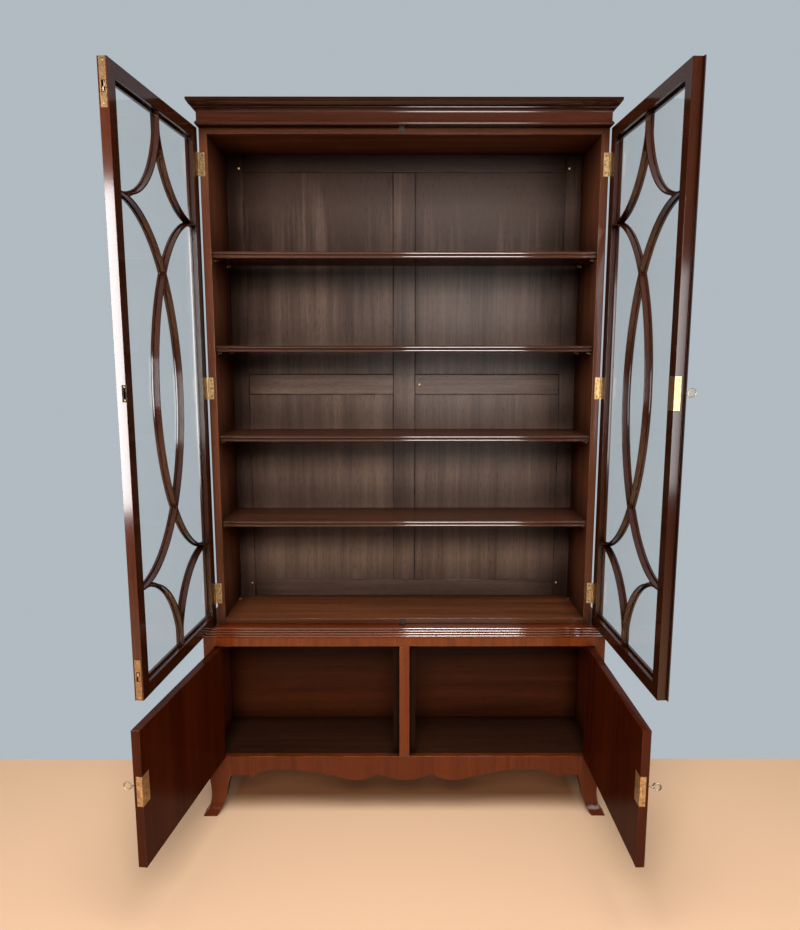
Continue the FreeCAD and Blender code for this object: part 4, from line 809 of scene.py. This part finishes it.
# Locks: the case let into the door, its screws, and the key with a ring bow.
locks = {
    "right_door": {"body": "right_glazed_door", "finish": "agedBrass", "side": 1, "edge": "meeting",
                   "inner": "doorInner", "outer": "doorOuter", "height": 1.321, "turned": 0},
    "left_cupboard": {"body": "left_cupboard_door", "finish": "screwBrass", "side": -1,
                      "edge": "cupboardEdge", "inner": "baseInner", "outer": "baseFront", "height": 0.387,
                      "turned": 0},
    "right_cupboard": {"body": "right_cupboard_door", "finish": "screwBrass", "side": 1,
                       "edge": "cupboardEdge", "inner": "baseInner", "outer": "baseFront", "height": 0.387,
                       "turned": 58},
}
lockLook = {"halfHeight": 0.038, "width": 0.038, "screwInset": 0.0055, "edgeScrew": 0.0075, "ease": 0.0004,
            "sunk": 0.00045, "screwSize": 0.75}
keyLook = {"backset": 0.023, "shank": 0.0020, "collar": 0.0032, "bow": 0.0090, "wire": 0.0019,
           "standOff": 0.018, "escutcheon": 0.001, "bitReach": 0.008, "bitThick": 0.002,
           "bitWidth": 0.0042, "bitEase": 0.0002, "bitCuts": 2, "depth": 0.0054, "latheSteps": 28,
           "bowSteps": 48, "wireSteps": 14}
# The key's turned outline: the part whose radius it follows, the share of it, and the height above the
# tip, the escutcheon or the foot of the bow.
keyTurning = (
    ("shank", 0, "tip", 0), ("shank", 0.8, "tip", 0), ("shank", 1, "tip", 0.0006),
    ("shank", 1, "plate", 0.0015), ("collar", 1, "plate", 0.0022), ("collar", 1, "plate", 0.0034),
    ("shank", 1, "plate", 0.0042), ("shank", 0.92, "bow", -0.0060), ("collar", 0.95, "bow", -0.0050),
    ("collar", 1.02, "bow", -0.0035), ("shank", 1, "bow", -0.0022), ("shank", 1.1, "bow", 0.0004),
    ("shank", 0, "bow", 0.0008),
)


def lathe(outline):  # spins a list of (radius, height) about Z into a closed piece
    mesh = bpy.data.meshes.new("lathe")
    mesh.from_pydata([(radius, 0, height) for radius, height in outline],
                     [(index, index + 1) for index in range(len(outline) - 1)], [])
    piece = bpy.data.objects.new("lathe", mesh)
    bpy.context.scene.collection.objects.link(piece)
    pick(piece)
    bpy.ops.object.mode_set(mode="EDIT")
    bpy.ops.mesh.select_all(action="SELECT")
    bpy.ops.mesh.spin(
        steps=keyLook["latheSteps"], angle=math.radians(360), center=(0, 0, 0), axis=(0, 0, 1))
    bpy.ops.mesh.select_all(action="SELECT")
    bpy.ops.mesh.remove_doubles(threshold=meshWork["mergeTurned"])
    bpy.ops.mesh.normals_make_consistent(inside=False)
    bpy.ops.object.mode_set(mode="OBJECT")
    return piece


def makeKey(name, lock):
    look = keyLook
    face = fronts[lock["outer"]] - look["escutcheon"]
    tip = fronts[lock["inner"]] - look["depth"]
    length = tip - face + look["standOff"]
    x = (fronts[lock["edge"]] + look["backset"]) * lock["side"]
    levels = {"tip": 0, "plate": length - look["standOff"], "bow": length}
    parts = [lathe([(look[part] * share, levels[level] + rise) for part, share, level, rise in keyTurning])]
    bpy.ops.mesh.primitive_torus_add(
        location=(0, 0, length + look["bow"]), rotation=(0, math.radians(90), 0),
        major_segments=look["bowSteps"], minor_segments=look["wireSteps"], major_radius=look["bow"],
        minor_radius=look["wire"])
    parts.append(bpy.context.active_object)
    bitMiddle = (0, look["bitReach"] / 2, look["bitWidth"] / 2)
    bpy.ops.mesh.primitive_cube_add(
        size=1, location=bitMiddle, scale=(look["bitThick"], look["bitReach"], look["bitWidth"]))
    bit = bpy.context.active_object
    settle(bit)
    bpy.ops.object.mode_set(mode="EDIT")
    selectFaces(bit, lambda centre, normal: normal.y > meshWork["facing"])
    bpy.ops.mesh.subdivide(number_cuts=look["bitCuts"])
    bpy.ops.object.mode_set(mode="OBJECT")
    easeEdges(bit, look["bitEase"])
    parts.append(bit)
    for part in parts:
        settle(part)
    piece = joined(pieceName(name) + "KeyTurned", parts)
    smooth(piece, meshWork["smoothTurned"])
    # Z runs out of the lock, along -Y of the shut door, and the bit hangs down.
    lie = Matrix(((1, 0, 0, 0), (0, 0, -1, 0), (0, -1, 0, 0), (0, 0, 0, 1)))
    turned = Matrix.Rotation(math.radians(lock["turned"]), 4, "Y")
    piece.matrix_world = Matrix.Translation((x, tip, lock["height"])) @ turned @ lie
    settle(piece)
    bpy.ops.object.mode_set(mode="EDIT")
    bpy.ops.mesh.select_all(action="SELECT")
    bpy.ops.mesh.normals_make_consistent(inside=False)
    bpy.ops.object.mode_set(mode="OBJECT")
    swingOut(piece, lock["body"])
    dress(piece, materials["keySteel"], "brass", name + "_key_body", name + "_key")


def makeLock(name, lock):
    node = name + "_lock"
    body = lock["body"]
    case = mergedCopy(node, pieceName(node))
    easeEdges(case, lockLook["ease"])
    smooth(case)
    dress(case, materials[lock["finish"]], "brass", body, node)
    side = lock["side"]
    edge = fronts[lock["edge"]]
    inner = fronts[lock["inner"]]
    screws = []
    for up in (-1, 1):
        height = lock["height"] + (lockLook["halfHeight"] - lockLook["screwInset"]) * up
        for inset in (lockLook["screwInset"], lockLook["width"] - lockLook["screwInset"]):
            x = (edge + inset) * side
            place = (x, inner - lockLook["sunk"], height)
            screws.append(placedScrew(place, (0, 1, 0), lockLook["screwSize"]))
        place = ((edge + lockLook["sunk"]) * side, inner - lockLook["edgeScrew"], height)
        screws.append(placedScrew(place, (-side, 0, 0), lockLook["screwSize"]))
    piece = joined(pieceName(node) + "Screws", screws)
    swingOut(piece, body)
    dress(piece, materials["screwBrass"], "brass", body)


for name, lock in locks.items():
    makeLock(name, lock)
    makeKey(name, lock)
print("locks and keys made")

# Flush-bolt plates and the strike on the left glazed door's meeting edge.
edgePlates = {
    "ends": (0.6035, 2.0125),
    "boltY": backPlane - 0.26675,
    "boltScrews": (0.007, 0.092),
    "boltScrewSize": 0.8,
    "strikeHeight": 1.321,
    "strikeY": backPlane - 0.2594,
    "strikeScrews": (-0.0145, 0.0145),
    "strikeScrewSize": 0.65,
    "sunk": 0.0002,
    "slotMiddle": 0.05825,
    "slot": (0.006, 0.0085, 0.0245),
    "ease": 0.0003,
}


def cutSlots(plate):  # the long slots in which the finger pieces of the bolts slide
    for end, way in zip(edgePlates["ends"], (1, -1)):
        place = (-fronts["meeting"], edgePlates["boltY"], end + edgePlates["slotMiddle"] * way)
        bpy.ops.mesh.primitive_cube_add(size=1, location=place, scale=edgePlates["slot"])
        cutter = bpy.context.active_object
        settle(cutter)
        applyModifier(plate, "BOOLEAN", operation="DIFFERENCE", object=cutter, solver="EXACT")
        bpy.data.objects.remove(cutter)


def makeEdgePlates():
    body = "left_glazed_door"
    edge = -fronts["meeting"] - edgePlates["sunk"]
    screws = []
    for end, way in zip(edgePlates["ends"], (1, -1)):
        for inset in edgePlates["boltScrews"]:
            place = (edge, edgePlates["boltY"], end + inset * way)
            screws.append(placedScrew(place, (1, 0, 0), edgePlates["boltScrewSize"]))
    for offset in edgePlates["strikeScrews"]:
        place = (edge, edgePlates["strikeY"], edgePlates["strikeHeight"] + offset)
        screws.append(placedScrew(place, (1, 0, 0), edgePlates["strikeScrewSize"]))
    piece = joined("meetingEdgeScrews", screws)
    swingOut(piece, body)
    dress(piece, materials["screwBrass"], "brass", body)
    # The strike plate is near-black as painted shade of its mortise.
    for node, finish in (("flush_bolt_plates", "tarnishedBrass"), ("strike_plate", "blackIron")):
        plate = mergedCopy(node, pieceName(node))
        if node == "flush_bolt_plates":
            plate.matrix_world = toShut(body)
            settle(plate)
            cutSlots(plate)
            swingOut(plate, body)
        easeEdges(plate, edgePlates["ease"])
        smooth(plate)
        dress(plate, materials[finish], "brass", body, node)


makeEdgePlates()
print("edge plates made")

bpy.data.objects.remove(screwPattern)

# The metal and glass nodes that keep their own shape.
kept = {
    "dullBrass": ["shelf_pegs"],
    "blackIron": ["bolt_keepers"],
    "hingeBrass": ["fixed_hinge_leaves", "hinge_pins", "left_door_hinge_leaves", "right_door_hinge_leaves",
                   "left_cupboard_hinge_leaves", "right_cupboard_hinge_leaves"],
    "agedBrass": ["top_flush_bolt", "bottom_flush_bolt", "right_door_lock_bolt", "left_cupboard_lock_bolt",
                  "right_cupboard_lock_bolt"],
    "windowGlass": ["left_glass_panes", "right_glass_panes"],
}
for finish, names in kept.items():
    for name in names:
        nodes[name].material_slots[0].material = materials[finish]
        nodes[name].visible_shadow = finish != "windowGlass"

# Floor, backdrop and light.
studio = {
    "floor": (0.70, 0.45, 0.28),
    "floorSize": 24,
    "floorFinish": {"Roughness": 0.8, "Specular IOR Level": 0.1},
    # paintedShadowUnderBase: a painted shadow on the floor under the base, fading out beside, before and
    # behind it.
    "paintedShadowUnderBase": (0.33, 0.20, 0.13),
    "besideBase": (0.62, 0.54),
    "beforeBase": (0.14, 0.25),
    "behindBase": (0.49, 0.43),
    "wallLine": (0.470, 0.482),
    "backdrop": (0.44, 0.495, 0.535),
    "room": (0.10, 0.11, 0.12),
    "roomToWall": (-0.35, 0.15),
    "ambient": (0.86, 0.92, 1.0),
    "ambientStrength": 0.12,
}
lamps = {
    "keyWindow": {"place": (-0.1, -3.05, 2.40), "aim": (0, 0, 1.1), "size": (1.7, 0.9), "power": 142,
                  "mirrored": False},
    "topFill": {"place": (0, -1.3, 3.4), "aim": (0, -0.4, 0.6), "size": (2.4, 1.6), "power": 80,
                "mirrored": False},
    "backFill": {"place": (0, 2.2, 3.1), "aim": (0, 0.4, 1.2), "size": (2.2, 1.0), "power": 38,
                 "mirrored": False},
    "sideGlow": {"place": (-2.3, -3.05, 1.40), "aim": (0, 0, 1.38), "size": (0.55, 1.86), "power": 70,
                 "mirrored": True},
    "frontGlow": {"place": (0.41, -3.05, 1.5), "aim": (0.3, 0, 1.4), "size": (0.80, 1.4), "power": 85,
                  "mirrored": True},
    "leftGlow": {"place": (-0.5, -3.4, 1.3), "aim": (-0.3, 0, 1.3), "size": (1.8, 0.8), "power": 7,
                 "mirrored": True},
    "rightGlow": {"place": (1.5, -3.1, 1.25), "aim": (0.6, -0.4, 1.2), "size": (0.6, 1.2), "power": 17,
                  "mirrored": True},
}


# The floor's colour carries a painted shadow under the base.
def makeFloor():  # dark under the base, and seen from the front it ends at the wall behind the cabinet
    bpy.ops.mesh.primitive_plane_add(size=studio["floorSize"], location=(0, 0, 0))
    floor = bpy.context.active_object
    floor.name = "studioFloor"
    material, tree, surface = newMaterial("paleFloor", studio["floorFinish"])
    place = addNode(tree, "TexCoord", (-6, 2))
    split = addNode(tree, "SeparateXYZ", (-5, 2))
    aside = addNode(tree, "Math", (-4, 4), operation="ABSOLUTE")
    beside = fade(tree, (-3, 4), studio["besideBase"])
    before = fade(tree, (-3, 5), studio["beforeBase"])
    behind = fade(tree, (-3, 6), studio["behindBase"])
    deep = addNode(tree, "Math", (-2, 6), operation="MULTIPLY")
    shade = addNode(tree, "Math", (-2, 5), operation="MULTIPLY")
    colours = {firstColour: (*studio["floor"], 1), secondColour: (*studio["paintedShadowUnderBase"], 1)}
    colour = addNode(tree, "Mix", (-1, 5), colours, data_type="RGBA", blend_type="MULTIPLY")
    sight = addNode(tree, "NewGeometry", (-6, 1))
    sightParts = addNode(tree, "SeparateXYZ", (-5, 1))
    fromFront = addNode(tree, "Math", (-4, 1), {1: 0}, operation="LESS_THAN")
    beyond = fade(tree, (-4, 2), studio["wallLine"])
    wall = addNode(tree, "Math", (-3, 2), operation="MULTIPLY")
    glow = addNode(tree, "Emission", (-2, 3), {"Color": (*studio["backdrop"], 1)})
    mix = addNode(tree, "MixShader", (1, 1))
    link(tree, ((place, "Object"), (split, 0)), ((split, "X"), (aside, 0)), ((aside, 0), (beside, "Value")),
         ((split, "Y"), (before, "Value")), ((split, "Y"), (behind, "Value")), ((before, 0), (deep, 0)),
         ((behind, 0), (deep, 1)), ((deep, 0), (shade, 0)), ((beside, 0), (shade, 1)),
         ((shade, 0), (colour, 0)), ((colour, mixedColour), (surface, "Base Color")),
         ((sight, "Incoming"), (sightParts, 0)), ((sightParts, "Y"), (fromFront, 0)),
         ((split, "Y"), (beyond, "Value")), ((beyond, 0), (wall, 0)), ((fromFront, 0), (wall, 1)),
         ((wall, 0), (mix, 0)), ((surface, 0), (mix, 1)), ((glow, 0), (mix, 2)),
         ((mix, 0), (tree.nodes["Material Output"], "Surface")))
    floor.data.materials.append(material)


def makeWorld():  # pale backdrop, while the polish and the brass see a dim room in front of the cabinet
    world = bpy.data.worlds.new("softStudio")
    bpy.context.scene.world = world
    world.use_nodes = True
    tree = world.node_tree
    tree.nodes.clear()
    seen = addNode(tree, "Background", (0, 2), {"Color": (*studio["backdrop"], 1)})
    ambient = {"Color": (*studio["ambient"], 1), "Strength": studio["ambientStrength"]}
    lit = addNode(tree, "Background", (0, 0), ambient)
    mirrored = addNode(tree, "Background", (0, -2))
    facing = addNode(tree, "TexCoord", (-5, -2))
    split = addNode(tree, "SeparateXYZ", (-4, -2))
    toWall = fade(tree, (-3, -2), studio["roomToWall"])
    colours = {firstColour: (*studio["room"], 1), secondColour: (*studio["backdrop"], 1)}
    colour = addNode(tree, "Mix", (-1, -2), colours, data_type="RGBA")
    path = addNode(tree, "LightPath", (-3, 2))
    direct = addNode(tree, "Math", (-2, 2), operation="ADD", use_clamp=True)
    indirect = addNode(tree, "MixShader", (2, 0))
    whole = addNode(tree, "MixShader", (3, 0))
    out = addNode(tree, "OutputWorld", (4, 0))
    link(tree, ((path, "Is Camera Ray"), (direct, 0)), ((path, "Is Transmission Ray"), (direct, 1)),
         ((facing, "Generated"), (split, 0)), ((split, "Y"), (toWall, "Value")), ((toWall, 0), (colour, 0)),
         ((colour, mixedColour), (mirrored, "Color")), ((path, "Is Glossy Ray"), (indirect, 0)),
         ((lit, 0), (indirect, 1)), ((mirrored, 0), (indirect, 2)), ((direct, 0), (whole, 0)),
         ((indirect, 0), (whole, 1)), ((seen, 0), (whole, 2)), ((whole, 0), (out, 0)))


def makeLamps():  # three lamps light the room, and the others only show in the polish
    for name, look in lamps.items():
        bpy.ops.object.light_add(type="AREA", location=look["place"])
        lamp = bpy.context.active_object
        lamp.name = name
        lamp.data.shape = "RECTANGLE"
        lamp.data.size, lamp.data.size_y = look["size"]
        lamp.data.energy = look["power"]
        lamp.visible_glossy = look["mirrored"]
        lamp.visible_diffuse = not look["mirrored"]
        lamp.visible_transmission = False
        aim = Vector(look["aim"]) - Vector(look["place"])
        lamp.rotation_euler = aim.to_track_quat("-Z", "Y").to_euler()


makeFloor()
makeWorld()
makeLamps()
bpy.context.scene.view_settings.view_transform = "Standard"
print("studio lit")
